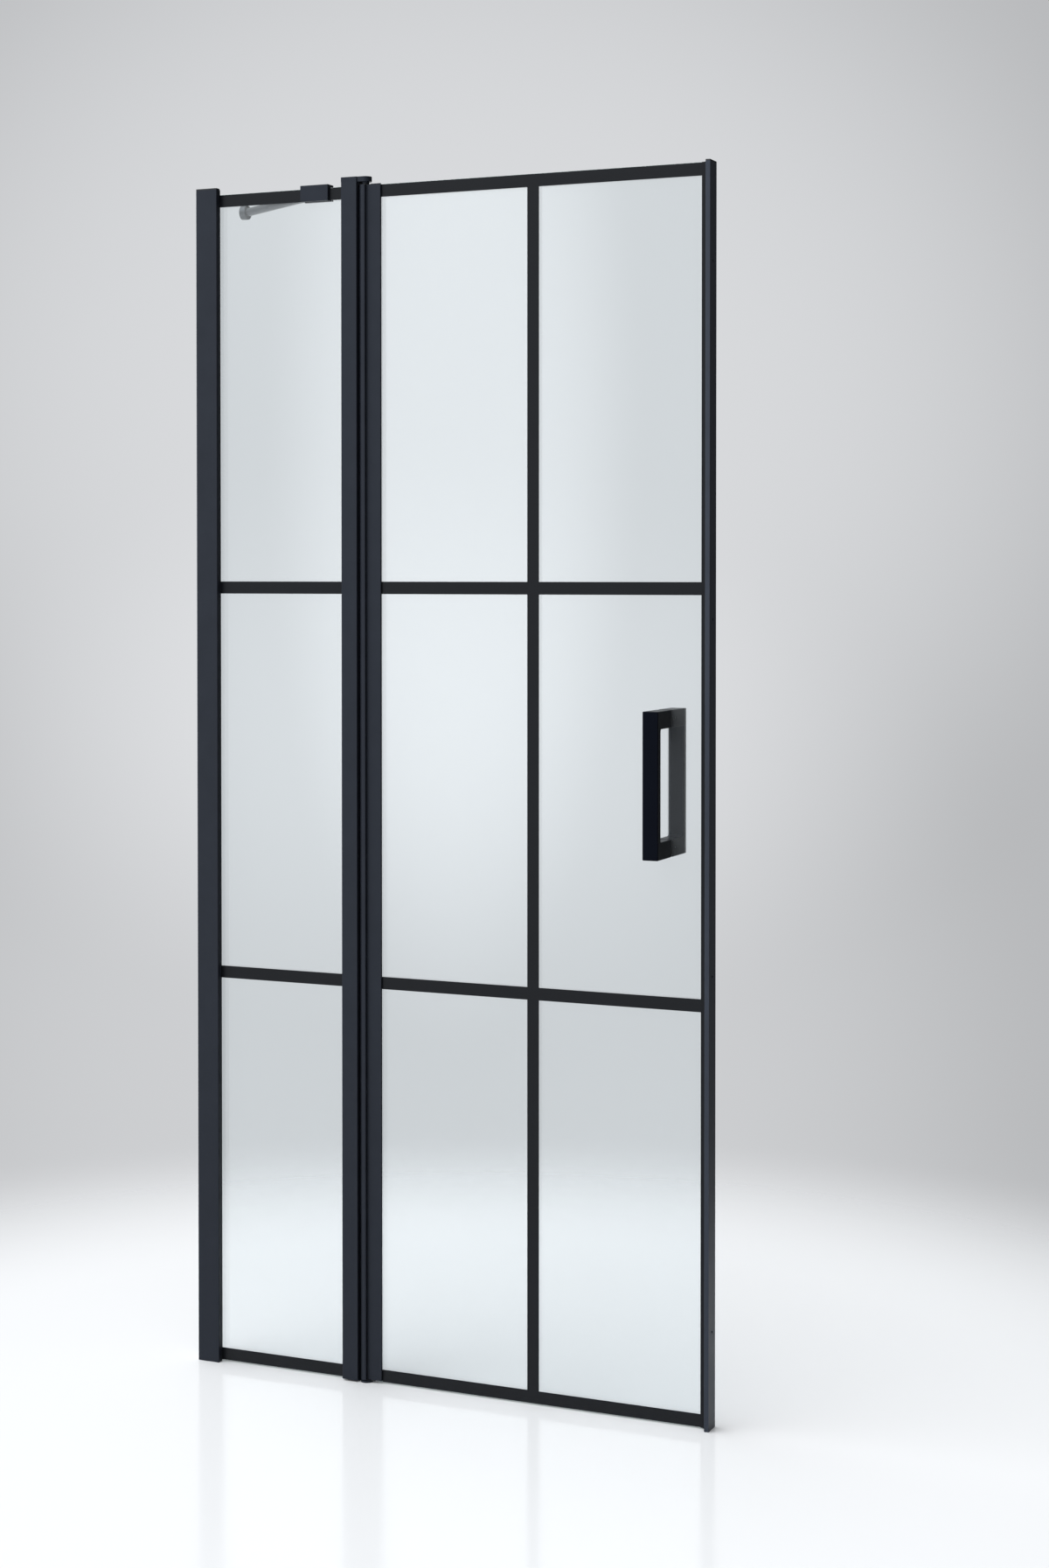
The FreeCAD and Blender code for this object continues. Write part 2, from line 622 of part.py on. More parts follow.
def pivot_arm(label, seat, plate, eye_front, thick, upside_down):
    """Arm on the end of the post: a plate over it, an eye over the barrel and a plug inside the post."""
    body = new_body(label, z=seat)
    sketch = sketch_on(body, "XY_Plane")
    outline(sketch, plate, {number: cell.edge_round for number in (1, 2, 3)})
    pad(body, sketch, thick, backwards=upside_down)
    neck = rectangle(CHAMBER_LEFT, eye_front, HINGE_X, BARREL_REAR)
    box_pad(body, neck, thick, backwards=upside_down)
    disc(body, HINGE, 2 * cell.barrel_radius, thick, backwards=upside_down)
    plug_left = CHAMBER_LEFT + cell.plug_clear
    plug_right = CHAMBER_RIGHT - cell.plug_clear
    plug_far = CHAMBER_STEP - cell.plug_clear
    plug = rectangle(plug_left, cell.plug_clear - INNER_HALF_DEPTH, plug_right, plug_far)
    box_pad(body, plug, cell.plug_depth, backwards=not upside_down)
    return body


def drill_arm(body, thick, upside_down):
    """Pin hole and counterbored screw hole of a pivot arm."""
    bore(body, HINGE, cell.pin_width + 2 * cell.press_clear, both_ways=True)
    bore(body, PORT, cell.arm_screw + 2 * cell.press_clear, both_ways=True)
    sketch = sketch_on(body, "XY_Plane", -thick if upside_down else thick)
    circle(sketch, PORT, cell.arm_screw_head + 2 * cell.plug_clear)
    pocket(body, sketch, cell.arm_screw_head_thick, backwards=upside_down)


def pivot_arms():
    """The upper arm covers the post. The lower one hides under it and leaves room for the fixed pane."""
    head = rectangle(POST_LEFT, -HALF_DEPTH, POST_RIGHT, HALF_DEPTH)
    upper = pivot_arm("top_pivot_arm", POST_TOP, head, BARREL_FRONT, cell.arm_plate, upside_down=False)
    boss = POST_TOP - GLASS_TOP - cell.flange_thick - cell.top_gap
    disc(upper, HINGE, 2 * cell.flange_radius, boss, backwards=True)
    drill_arm(upper, cell.arm_plate, upside_down=False)
    front = cell.foot_setback - HALF_DEPTH
    foot = [(POST_SLOT_BOTTOM, front), (POST_RIGHT, front), (POST_RIGHT, HALF_DEPTH)]
    foot += [(POST_LEFT, HALF_DEPTH), (POST_LEFT, HALF_SLOT), (POST_SLOT_BOTTOM, HALF_SLOT)]
    lower = pivot_arm("bottom_pivot_arm", cell.foot_plate, foot, HINGE_Y, cell.foot_plate, upside_down=True)
    drill_arm(lower, cell.foot_plate, upside_down=True)


def arm_screws():
    """Cap screws that hold the arms on the post, in the ends of its screw port."""
    body = new_body("arm_screws")
    upper_seat = cell.overall_height - cell.arm_screw_head_thick
    lower_seat = cell.arm_screw_head_thick
    for seat, upside_down in ((upper_seat, False), (lower_seat, True)):
        for diameter, length, inwards in (
            (cell.arm_screw_head, cell.arm_screw_head_thick, False),
            (cell.arm_screw, cell.arm_screw_length, True),
        ):
            sketch = sketch_on(body, "XY_Plane", seat)
            circle(sketch, PORT, diameter)
            pad(body, sketch, length, backwards=inwards != upside_down)


def pivot_pins():
    """Steel pins, pressed into the arms and running in the bushes."""
    upper_end = cell.overall_height - cell.pin_recess
    lower_end = STILE_BOTTOM + cell.pin_reach
    spans = {
        "top_pivot_pin": (GLASS_TOP - cell.pin_reach, upper_end),
        "bottom_pivot_pin": (cell.pin_recess, lower_end),
    }
    for label, (bottom, top) in spans.items():
        disc(new_body(label, z=bottom), HINGE, cell.pin_width, top - bottom)


def bearings():
    """Flanged bushes in the ends of the barrel. The lower flange carries the door."""
    hole = cell.pin_width + 2 * cell.running_clear
    for label, seat, at_top in (("top_bush", GLASS_TOP, True), ("bottom_bush", STILE_BOTTOM, False)):
        body = new_body(label, z=seat)
        disc(body, HINGE, 2 * cell.flange_radius, cell.flange_thick, backwards=not at_top)
        disc(body, HINGE, cell.barrel_bore - 2 * cell.press_clear, cell.bush_length, backwards=at_top)
        bore(body, HINGE, hole, both_ways=True)


# Door

def stile_chamber(slack):
    """The closed chamber between barrel and slot, or the tang that fits it with some slack."""
    left = BARREL_RIGHT + slack
    right = STILE_SLOT_BOTTOM - cell.extrusion_wall - slack
    half = LIP_FACE - cell.extrusion_wall - slack
    return rectangle(left, -half, right, half)


def door_stile():
    """Extrusion with the hinge barrel at its edge, stepped back to the flat face of the stile, and a slot
    for the door pane with a shorter rear lip."""
    corners = [(HINGE_X, -LIP_FACE), (STILE_RIGHT, -LIP_FACE), (STILE_RIGHT, -HALF_SLOT)]
    corners += [(STILE_SLOT_BOTTOM, -HALF_SLOT), (STILE_SLOT_BOTTOM, HALF_SLOT)]
    corners += [(STILE_REAR_RIGHT, HALF_SLOT), (STILE_REAR_RIGHT, LIP_FACE), (HINGE_X, LIP_FACE)]
    rounds = {1: cell.edge_round, 6: cell.edge_round, 7: cell.stile_round}
    loops = [(corners, rounds), (stile_chamber(NO_SLACK), None)]
    body = extrusion("door_stile", STILE_BOTTOM, GLASS_TOP, loops)
    disc(body, HINGE, 2 * cell.barrel_radius, GLASS_TOP - STILE_BOTTOM)
    bore(body, HINGE, cell.barrel_bore, both_ways=True)
    step = sketch_on(body, "XY_Plane")
    front = BARREL_FRONT - cell.barrel_step
    outline(step, rectangle(HINGE_X + cell.barrel_step, front, STILE_RIGHT, -LIP_FACE))
    pocket(body, step, both_ways=True)


def stile_caps():
    """Plastic caps: the upper one covers web and front lip, the lower one only the web beside the pane."""
    upper = [(BARREL_RIGHT, -LIP_FACE), (STILE_RIGHT, -LIP_FACE), (STILE_RIGHT, -HALF_SLOT)]
    upper += [(STILE_SLOT_BOTTOM, -HALF_SLOT), (STILE_SLOT_BOTTOM, LIP_FACE), (BARREL_RIGHT, LIP_FACE)]
    lower = rectangle(BARREL_RIGHT, -LIP_FACE, STILE_SLOT_BOTTOM, LIP_FACE)
    tang = stile_chamber(cell.plug_clear)
    end_cap("stile_top_cap", GLASS_TOP, upper, {1: cell.edge_round}, tang, thick=cell.stile_cap)
    end_cap("stile_bottom_cap", STILE_BOTTOM, lower, None, tang, thick=cell.flange_thick, upside_down=True)


def door_panel():
    hole = cell.stud_width + 2 * cell.stud_clear
    pane("door_glass", DOOR_GLASS_LEFT, DOOR_GLASS_RIGHT, stud_places(), hole)
    front = (STILE_SLOT_BOTTOM, STILE_RIGHT - cell.gasket_recess)
    rear = (STILE_SLOT_BOTTOM, STILE_REAR_RIGHT - cell.gasket_recess)
    gasket_pair("door_gaskets", STILE_BOTTOM, front, rear)
    grid = printed_bars("door_grid", STILE_RIGHT - cell.gasket_recess, SEAL_LEFT)
    middle = (BARREL_RIGHT + DOOR_GLASS_RIGHT) / 2
    left = middle - cell.print_width / 2
    low = GLASS_BOTTOM + cell.glass_arris
    mullion = sketch_on(grid, "XZ_Plane")
    outline(mullion, rectangle(left, low, left + cell.print_width, GLASS_TOP - cell.glass_arris))
    pad(grid, mullion, cell.print_thick)


def door_seal():
    """Black magnet seal, clipped on the closing edge of the pane."""
    leg = HALF_GLASS + cell.seal_wall
    half_bulb = cell.bulb_width / 2
    corners = [(SEAL_LEFT, -leg), (BULB_LEFT, -leg), (BULB_LEFT, -half_bulb), (SEAL_RIGHT, -half_bulb)]
    corners += [(SEAL_RIGHT, half_bulb), (BULB_LEFT, half_bulb), (BULB_LEFT, leg), (SEAL_LEFT, leg)]
    corners += [(SEAL_LEFT, HALF_GLASS), (DOOR_GLASS_RIGHT, HALF_GLASS)]
    corners += [(DOOR_GLASS_RIGHT, -HALF_GLASS), (SEAL_LEFT, -HALF_GLASS)]
    chamber = magnet_strip(NO_SLACK)
    extrusion("door_magnet_seal", GLASS_BOTTOM, GLASS_TOP, [(corners, None), (chamber, None)])
    extrusion("door_magnet", GLASS_BOTTOM, GLASS_TOP, [(magnet_strip(cell.press_clear), None)])


def magnet_strip(slack):
    half = cell.bulb_width / 2 - cell.seal_wall - slack
    return rectangle(BULB_LEFT + cell.seal_wall + slack, -half, SEAL_RIGHT - cell.seal_wall - slack, half)


# Handle: two bows clamped on the pane by through studs

HANDLE_MIDDLE_X = DOOR_GLASS_RIGHT - cell.handle_inset
HANDLE_LEFT = HANDLE_MIDDLE_X - cell.handle_width / 2
HANDLE_MIDDLE_Z = (GLASS_BOTTOM + GLASS_TOP) / 2 + cell.handle_rise
HANDLE_LOW = HANDLE_MIDDLE_Z - cell.handle_length / 2
HANDLE_HIGH = HANDLE_MIDDLE_Z + cell.handle_length / 2
LEG_HEIGHTS = [HANDLE_LOW + cell.handle_leg / 2, HANDLE_HIGH - cell.handle_leg / 2]
LEG_END = HALF_GLASS + cell.handle_pad


def stud_places():
    return [(HANDLE_MIDDLE_X, height) for height in LEG_HEIGHTS]


def handle_bow(label, side):
    """A square bow: a grip on two legs, with a finger gap behind it. side is -1 outside, 1 inside."""
    end = side * LEG_END
    face = side * (HALF_GLASS + cell.handle_reach)
    palm = side * (HALF_GLASS + cell.handle_reach - cell.handle_grip)
    low_leg = HANDLE_LOW + cell.handle_leg
    high_leg = HANDLE_HIGH - cell.handle_leg
    corners = [(face, HANDLE_LOW), (end, HANDLE_LOW), (end, low_leg), (palm, low_leg)]
    corners += [(palm, high_leg), (end, high_leg), (end, HANDLE_HIGH), (face, HANDLE_HIGH)]
    body = new_body(label, x=HANDLE_LEFT)
    sketch = sketch_on(body, "YZ_Plane")
    outline(sketch, corners, {number: cell.handle_window_round for number in (3, 4)})
    pad(body, sketch, cell.handle_width)
    grip_face = face.number()

    def outer_edge(edge):
        box = edge.BoundBox
        return box.XLength < SAME_PLACE or abs(box.YMin - grip_face) + box.YLength < SAME_PLACE

    dress_edges(body, cell.edge_round, outer_edge)
    holes = [(cell.handle_width / 2, height) for height in LEG_HEIGHTS]
    cut_along(body, "XZ_Plane", cell.stud_width + 2 * cell.press_clear, holes, both_ways=False,
              backwards=side < 0, length=LEG_END + cell.stud_depth)
    return body


def leg_outline(place, inset):
    """A leg's rectangle on the pane, drawn smaller by an inset."""
    x, z = place
    half_width = cell.handle_width / 2 - inset
    half_height = cell.handle_leg / 2 - inset
    return rectangle(x - half_width, z - half_height, x + half_width, z + half_height)


def handle():
    handle_bow("handle_outer", -1)
    inner = handle_bow("handle_inner", 1)
    grub_y = LEG_END + cell.handle_grub_depth
    drilling = sketch_on(inner, "YZ_Plane", cell.handle_width / 2)
    for height in LEG_HEIGHTS:
        circle(drilling, (grub_y, height), cell.handle_grub + 2 * cell.press_clear)
    pocket(inner, drilling, backwards=True)

    grubs = new_body("handle_grub_screws", x=HANDLE_MIDDLE_X + cell.stud_width / 2)
    sketch = sketch_on(grubs, "YZ_Plane")
    for height in LEG_HEIGHTS:
        circle(sketch, (grub_y, height), cell.handle_grub)
    pad(grubs, sketch, cell.handle_width / 2 - cell.stud_width / 2 - cell.grub_recess)

    pads = new_body("handle_pads")
    blocks = sketch_on(pads, "XZ_Plane")
    for place in stud_places():
        outline(blocks, leg_outline(place, cell.handle_pad_inset))
        circle(blocks, place, cell.stud_width + 2 * cell.press_clear)
    pad(pads, blocks, 2 * LEG_END, both_ways=True)
    room = sketch_on(pads, "XZ_Plane")
    for place in stud_places():
        outline(room, leg_outline(place, NO_SLACK))
    pocket(pads, room, cell.glass_thick, both_ways=True)
    studs = new_body("handle_studs")
    sketch = sketch_on(studs, "XZ_Plane")
    for place in stud_places():
        circle(sketch, place, cell.stud_width)
    pad(studs, sketch, 2 * (LEG_END + cell.stud_depth - cell.plug_clear), both_ways=True)


# Strike profile at the right wall, drawn from the wall's face

def strike_chambers(slack):
    left = cell.extrusion_wall + slack - cell.strike_width
    right = -cell.extrusion_wall - slack
    near = cell.strike_groove / 2 + cell.extrusion_wall + slack
    far = INNER_HALF_DEPTH - slack
    return [rectangle(left, -far, right, -near), rectangle(left, near, right, far)]


def strike():
    """Slim profile with a magnet strip in a groove and a lip that stops the door at its closed place."""
    left = -cell.strike_width
    floor = cell.strike_groove_depth - cell.strike_width
    half = cell.strike_groove / 2
    lip_near = cell.bulb_width / 2 + cell.stop_gap
    lip_far = lip_near + cell.extrusion_wall
    lip_end = left - cell.stop_reach
    corners = [(left, -HALF_DEPTH), (0, -HALF_DEPTH), (0, HALF_DEPTH), (left, HALF_DEPTH)]
    corners += [(left, lip_far), (lip_end, lip_far), (lip_end, lip_near), (left, lip_near)]
    corners += [(left, half), (floor, half), (floor, -half), (left, -half)]
    loops = [(corners, {0: cell.edge_round, 3: cell.edge_round})]
    loops += [(chamber, None) for chamber in strike_chambers(NO_SLACK)]
    body = extrusion("strike_profile", FLOOR, GLASS_TOP, loops)
    body.setExpression("Placement.Base.x", cell.screen_width.formula)
    rows = heights(FLOOR, GLASS_TOP, cell.strike_hole_inset, WALL_SCREW_COUNT)
    holes = [(0, height) for height in rows]
    cut_along(body, "YZ_Plane", cell.strike_hole, holes)

    back = floor - cell.strike_screw_room
    strip = rectangle(left + cell.plug_clear, cell.plug_clear - half, back, half - cell.plug_clear)
    magnet = extrusion("strike_magnet", FLOOR, GLASS_TOP, [(strip, None)])
    magnet.setExpression("Placement.Base.x", cell.screen_width.formula)

    plate = rectangle(left, -HALF_DEPTH, 0, HALF_DEPTH)
    rounds = {0: cell.edge_round, 3: cell.edge_round}
    end_cap("strike_cap", GLASS_TOP, plate, rounds, *strike_chambers(cell.plug_clear))
    nodes["strike_cap"].setExpression("Placement.Base.x", cell.screen_width.formula)


# Stabiliser bar from a clip on the fixed pane to the left wall

CLIP_RIGHT = POST_LEFT - cell.clip_to_post
CLIP_LEFT = CLIP_RIGHT - cell.clip_width
CLIP_MIDDLE = CLIP_RIGHT - cell.clip_width / 2
CLIP_TOP = GLASS_TOP + cell.clip_rise
CLIP_LOW = CLIP_TOP - cell.clip_height
CLIP_FRONT = -(HALF_GLASS + cell.print_thick + cell.clip_pad)
CLIP_REAR = HALF_GLASS + cell.clip_pad + cell.clip_plate + cell.clip_plate_gap
CLIP_BRIDGE = GLASS_TOP + cell.clip_bridge_gap
BRACE_START_X = CLIP_MIDDLE + cell.brace_shift
BRACE_Z = GLASS_TOP - cell.brace_drop
BRACE_COS = Size("cos(Sizes.brace_angle)")
BRACE_SIN = Size("sin(Sizes.brace_angle)")
BRACE_LENGTH = (BRACE_START_X - cell.brace_wall_gap) / BRACE_COS
FLANGE_Y = BRACE_LENGTH * BRACE_SIN


def primitive(kind, name, sizes, placement):
    """A plain solid whose sizes and place are formulas on the sheet."""
    solid = doc.addObject(kind, name)
    for property_name, size in sizes.items():
        solid.setExpression(property_name, size.formula)
    solid.setExpression("Placement", placement)
    return solid


def at(x, y, z, yaw="0", pitch="0", roll="0"):
    place = "; ".join(as_size(value).formula for value in (x, y, z))
    return f"placement(vector({place}); rotation({yaw}; {pitch}; {roll}))"


def brace_rod(name, diameter, start, end):
    """A cylinder on the bar's line, between two distances from the glass plane."""
    x = BRACE_START_X - start * BRACE_COS
    place = at(x, start * BRACE_SIN, BRACE_Z, yaw="-Sizes.brace_angle", pitch="-90")
    return primitive("Part::Cylinder", name, {"Radius": diameter / 2, "Height": end - start}, place)


def upright(name, diameter, x, y, low, high):
    """A standing cylinder between two heights."""
    sizes = {"Radius": diameter / 2, "Height": high - low}
    return primitive("Part::Cylinder", name, sizes, at(x, y, low))


def crosswise(name, diameter, x, z, front, rear):
    """A cylinder along Y between two depths."""
    sizes = {"Radius": diameter / 2, "Height": rear - front}
    return primitive("Part::Cylinder", name, sizes, at(x, front, z, roll="-90"))


def off_wall(name, diameter, y, z, length):
    """A cylinder that stands on the left wall."""
    sizes = {"Radius": diameter / 2, "Height": length}
    return primitive("Part::Cylinder", name, sizes, at(0, y, z, pitch="90"))


def minus(label, base, tools):
    """The base with the tools cut out of it, one after the other."""
    for number, tool in enumerate(tools, start=1):
        cut = doc.addObject("Part::Cut", f"{label}_cut_{number}")
        cut.Base = base
        cut.Tool = tool
        base = cut
    base.Label = label
    nodes[label] = base


def group(label, solids):
    compound = doc.addObject("Part::Compound", label)
    compound.Links = solids
    nodes[label] = compound


def clip_block(label, front, rear):
    """A flat piece between the clip's jaws, as high and wide as the pads."""
    sizes = {
        "Length": cell.clip_width - 2 * cell.clip_pad_inset,
        "Width": rear - front,
        "Height": GLASS_TOP - cell.glass_arris - CLIP_LOW - 2 * cell.clip_pad_inset,
    }
    place = at(CLIP_LEFT + cell.clip_pad_inset, front, CLIP_LOW + cell.clip_pad_inset)
    return primitive("Part::Box", label, sizes, place)


CLIP_SCREW_PLACES = [CLIP_MIDDLE - cell.clip_screw_spread / 2, CLIP_MIDDLE + cell.clip_screw_spread / 2]
CLIP_SCREW_Z = CLIP_LOW + cell.clip_screw_rise
CLIP_REAR_FACE = CLIP_REAR + cell.clip_rear_wall
SOCKET_WIDTH = cell.brace_width + 2 * cell.socket_wall
SOCKET_END = cell.socket_start + cell.socket_length
BORE_WIDTH = cell.brace_width + 2 * cell.brace_clear
GRUB_ON_BAR = cell.socket_start + cell.brace_grub_offset
GRUB_X = BRACE_START_X - GRUB_ON_BAR * BRACE_COS
GRUB_Y = GRUB_ON_BAR * BRACE_SIN


def brace_clip():
    """Cast saddle over the glass edge with an angled socket for the bar on its rear jaw."""
    saddle = new_body("clip_saddle", x=CLIP_LEFT)
    del nodes["clip_saddle"]
    front_face = CLIP_FRONT - cell.clip_front_wall
    corners = [(front_face, CLIP_LOW), (CLIP_FRONT, CLIP_LOW), (CLIP_FRONT, CLIP_BRIDGE)]
    corners += [(CLIP_REAR, CLIP_BRIDGE), (CLIP_REAR, CLIP_LOW), (CLIP_REAR_FACE, CLIP_LOW)]
    corners += [(CLIP_REAR_FACE, CLIP_TOP), (front_face, CLIP_TOP)]
    sketch = sketch_on(saddle, "YZ_Plane")
    outline(sketch, corners, {number: cell.edge_round for number in (0, 5, 6, 7)})
    pad(saddle, sketch, cell.clip_width)
    socket = brace_rod("clip_socket", SOCKET_WIDTH, NO_SLACK, SOCKET_END)
    blank = doc.addObject("Part::Fuse", "clip_blank")
    blank.Base = saddle
    blank.Tool = socket
    room = {
        "Length": 2 * cell.clip_width,
        "Width": CLIP_REAR - CLIP_FRONT,
        "Height": CLIP_BRIDGE - CLIP_LOW,
    }
    gap_place = at(CLIP_LEFT - cell.clip_width / 2, CLIP_FRONT, CLIP_LOW)
    gap = primitive("Part::Box", "clip_gap", room, gap_place)
    bar_hole = brace_rod("clip_bar_hole", BORE_WIDTH, cell.socket_start, SOCKET_END + cell.socket_wall)
    screw_hole = cell.clip_screw + 2 * cell.press_clear
    near = CLIP_REAR - cell.clip_pad
    far = CLIP_REAR_FACE + SOCKET_WIDTH
    holes = []
    for x in CLIP_SCREW_PLACES:
        holes.append(crosswise("clip_screw_hole", screw_hole, x, CLIP_SCREW_Z, near, far))
    grub_hole = cell.brace_grub + 2 * cell.press_clear
    holes.append(upright("clip_grub_hole", grub_hole, GRUB_X, GRUB_Y, BRACE_Z - SOCKET_WIDTH, BRACE_Z))
    minus("brace_clip", blank, [gap, bar_hole] + holes)

    front_pad = clip_block("clip_front_pad", CLIP_FRONT, -(HALF_GLASS + cell.print_thick))
    rear_pad = clip_block("clip_rear_pad", HALF_GLASS, HALF_GLASS + cell.clip_pad)
    group("brace_clip_pads", [front_pad, rear_pad])
    plate_front = HALF_GLASS + cell.clip_pad
    plate_rear = plate_front + cell.clip_plate
    nodes["brace_pressure_plate"] = clip_block("brace_pressure_plate", plate_front, plate_rear)
    screws = []
    for x in CLIP_SCREW_PLACES:
        end = CLIP_REAR_FACE - cell.grub_recess
        screws.append(crosswise("clip_clamp_screw", cell.clip_screw, x, CLIP_SCREW_Z, plate_rear, end))
    group("brace_clip_screws", screws)


def brace():
    """Round bar, its wall plate, the flange over the plate and the grub screws that hold the bar."""
    nodes["brace_bar"] = brace_rod("brace_bar", cell.brace_width, cell.socket_start, BRACE_LENGTH)
    plate = off_wall("wall_plate_disc", cell.plate_width, FLANGE_Y, BRACE_Z, cell.plate_thick)
    hole = off_wall("wall_plate_hole", cell.plate_hole, FLANGE_Y, BRACE_Z, cell.plate_thick)
    minus("brace_wall_plate", plate, [hole])

    cup = off_wall("flange_cup", cell.flange_width, FLANGE_Y, BRACE_Z, cell.flange_height)
    bevelled = doc.addObject("Part::Chamfer", "flange_bevelled")
    bevelled.Base = cup
    doc.recompute()
    rim = cell.flange_height.number()
    bevel = cell.flange_edge.number()
    edges = enumerate(cup.Shape.Edges, start=1)
    bevelled.Edges = [(number, bevel, bevel) for number, edge in edges
                      if abs(edge.BoundBox.XMin - rim) < SAME_PLACE and edge.BoundBox.XLength < SAME_PLACE]
    seat = cell.plate_width + 2 * cell.plug_clear
    recess = off_wall("flange_recess", seat, FLANGE_Y, BRACE_Z, cell.plate_thick + cell.plug_clear)
    bar_hole = brace_rod("flange_bar_hole", BORE_WIDTH, SOCKET_END, BRACE_LENGTH + cell.plug_clear)
    grub_x = cell.brace_wall_gap
    grub_hole = cell.brace_grub + 2 * cell.press_clear
    drilled = upright("flange_grub_hole", grub_hole, grub_x, FLANGE_Y, BRACE_Z - cell.flange_width, BRACE_Z)
    minus("brace_flange", bevelled, [recess, bar_hole, drilled])

    under_bar = BRACE_Z - cell.brace_width / 2
    flange_low = BRACE_Z - cell.flange_width / 2 + cell.grub_recess
    socket_low = BRACE_Z - SOCKET_WIDTH / 2 + cell.grub_recess
    wall_grub = upright("flange_grub", cell.brace_grub, grub_x, FLANGE_Y, flange_low, under_bar)
    clip_grub = upright("clip_grub", cell.brace_grub, GRUB_X, GRUB_Y, socket_low, under_bar)
    group("brace_grub_screws", [wall_grub, clip_grub])


# Assembly

wall_channel()
panel_profile()
panel_profile_cap()
panel_lock_screws()
fixed_panel()
hinge_post()
hinge_seal()
pivot_arms()
arm_screws()
pivot_pins()
bearings()
door_stile()
stile_caps()
door_panel()
door_seal()
handle()
strike()
brace_clip()
brace()
doc.recompute()

for item in doc.Objects:
    if "Invalid" in item.State or "Error" in item.State:
        raise RuntimeError(f"{item.Label} failed: {item.State}")
for label, item in nodes.items():
    if item.Shape.isNull() or not item.Shape.isValid():
        raise RuntimeError(f"{label} has no valid shape")
os.makedirs("parts", exist_ok=True)
for label, item in nodes.items():
    item.Shape.exportStep(f"parts/{label}.step")
print(len(nodes), "nodes written")
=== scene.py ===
import bpy
import math
import numpy as np
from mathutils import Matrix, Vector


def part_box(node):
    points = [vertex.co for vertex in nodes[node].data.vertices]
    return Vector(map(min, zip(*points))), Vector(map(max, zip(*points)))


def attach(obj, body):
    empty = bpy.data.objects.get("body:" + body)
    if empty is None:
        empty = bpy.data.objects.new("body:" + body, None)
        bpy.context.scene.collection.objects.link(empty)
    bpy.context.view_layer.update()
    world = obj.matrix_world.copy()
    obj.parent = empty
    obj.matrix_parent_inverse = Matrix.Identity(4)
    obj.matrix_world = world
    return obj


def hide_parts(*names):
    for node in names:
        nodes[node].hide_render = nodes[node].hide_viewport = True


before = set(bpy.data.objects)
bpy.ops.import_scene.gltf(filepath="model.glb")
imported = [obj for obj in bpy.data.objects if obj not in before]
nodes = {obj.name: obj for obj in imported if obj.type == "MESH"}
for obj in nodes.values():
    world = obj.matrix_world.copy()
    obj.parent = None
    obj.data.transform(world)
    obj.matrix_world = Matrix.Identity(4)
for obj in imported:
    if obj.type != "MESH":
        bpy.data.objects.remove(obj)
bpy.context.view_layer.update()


# Wall channel: a U of mill-finish aluminium that is screwed to the wall through its base.
# It is an extrusion, so fine die lines run up its whole length; the panel profile slides over it.

MILL_COLOURS = (0.5, 0.51, 0.52), (0.62, 0.63, 0.64)
OBJECT_PLACE = 3
FIRST_COLOUR = 6
SECOND_COLOUR = 7
MIXED_COLOUR = 2
OPAQUE = 1
RELIEF_STRENGTH = 0.5


class Field:
    """One socket of a material. Arithmetic on fields adds Math nodes, and node() adds any other node."""

    def __init__(self, tree, socket=None):
        self.tree = tree
        self.socket = socket

    def node(self, kind, settings=None, sockets=None, output=0):
        """Adds a node of that kind: its settings first, then the values or links of its sockets."""
        made = self.tree.nodes.new("ShaderNode" + kind)
        for name, value in (settings or {}).items():
            setattr(made, name, value)
        for name, value in (sockets or {}).items():
            if isinstance(value, Field):
                self.tree.links.new(value.socket, made.inputs[name])
            else:
                made.inputs[name].default_value = value
        return Field(self.tree, made.outputs[output])

    def maths(self, operation, first, second):
        """Adds a Math node on two fields or numbers."""
        return self.node("Math", {"operation": operation}, {0: first, 1: second})

    def __add__(self, other):
        return self.maths("ADD", self, other)

    def __radd__(self, other):
        return self.maths("ADD", other, self)

    def __sub__(self, other):
        return self.maths("SUBTRACT", self, other)

    def __rsub__(self, other):
        return self.maths("SUBTRACT", other, self)

    def __mul__(self, other):
        return self.maths("MULTIPLY", self, other)

    def __rmul__(self, other):
        return self.maths("MULTIPLY", other, self)

    def __pow__(self, other):
        return self.maths("POWER", self, other)


def new_finish(name):
    """An empty material, and a field without a socket to start its nodes from."""
    finish = bpy.data.materials.new(name)
    finish.use_nodes = True
    finish.node_tree.nodes.clear()
    return finish, Field(finish.node_tree)


def set_surface(start, shader):
    """Makes the shader the surface of the material that start belongs to."""
    output = start.tree.nodes.new("ShaderNodeOutputMaterial")
    start.tree.links.new(shader.socket, output.inputs["Surface"])


def speckle(start, size, drawn=1, detail=2.0):
    """Noise from 0 to 1 in blots of about that size in metres, drawn out that many times along Z."""
    place = start.node("TexCoord", output=OBJECT_PLACE)
    squeeze = (1, 1, 1 / drawn)
    stretched = start.node("VectorMath", {"operation": "MULTIPLY"}, {0: place, 1: squeeze})
    return start.node("TexNoise", sockets={"Vector": stretched, "Scale": 1 / size, "Detail": detail})


def tone(start, amount, dark, light):
    """A colour between dark and light."""
    colours = {"Factor": amount, FIRST_COLOUR: (*dark, OPAQUE), SECOND_COLOUR: (*light, OPAQUE)}
    return start.node("Mix", {"data_type": "RGBA"}, colours, output=MIXED_COLOUR)


def relief(start, height, depth):
    """A normal from a height of 0 to 1 that stands for depth in metres."""
    return start.node("Bump", sockets={"Height": height, "Distance": depth, "Strength": RELIEF_STRENGTH})


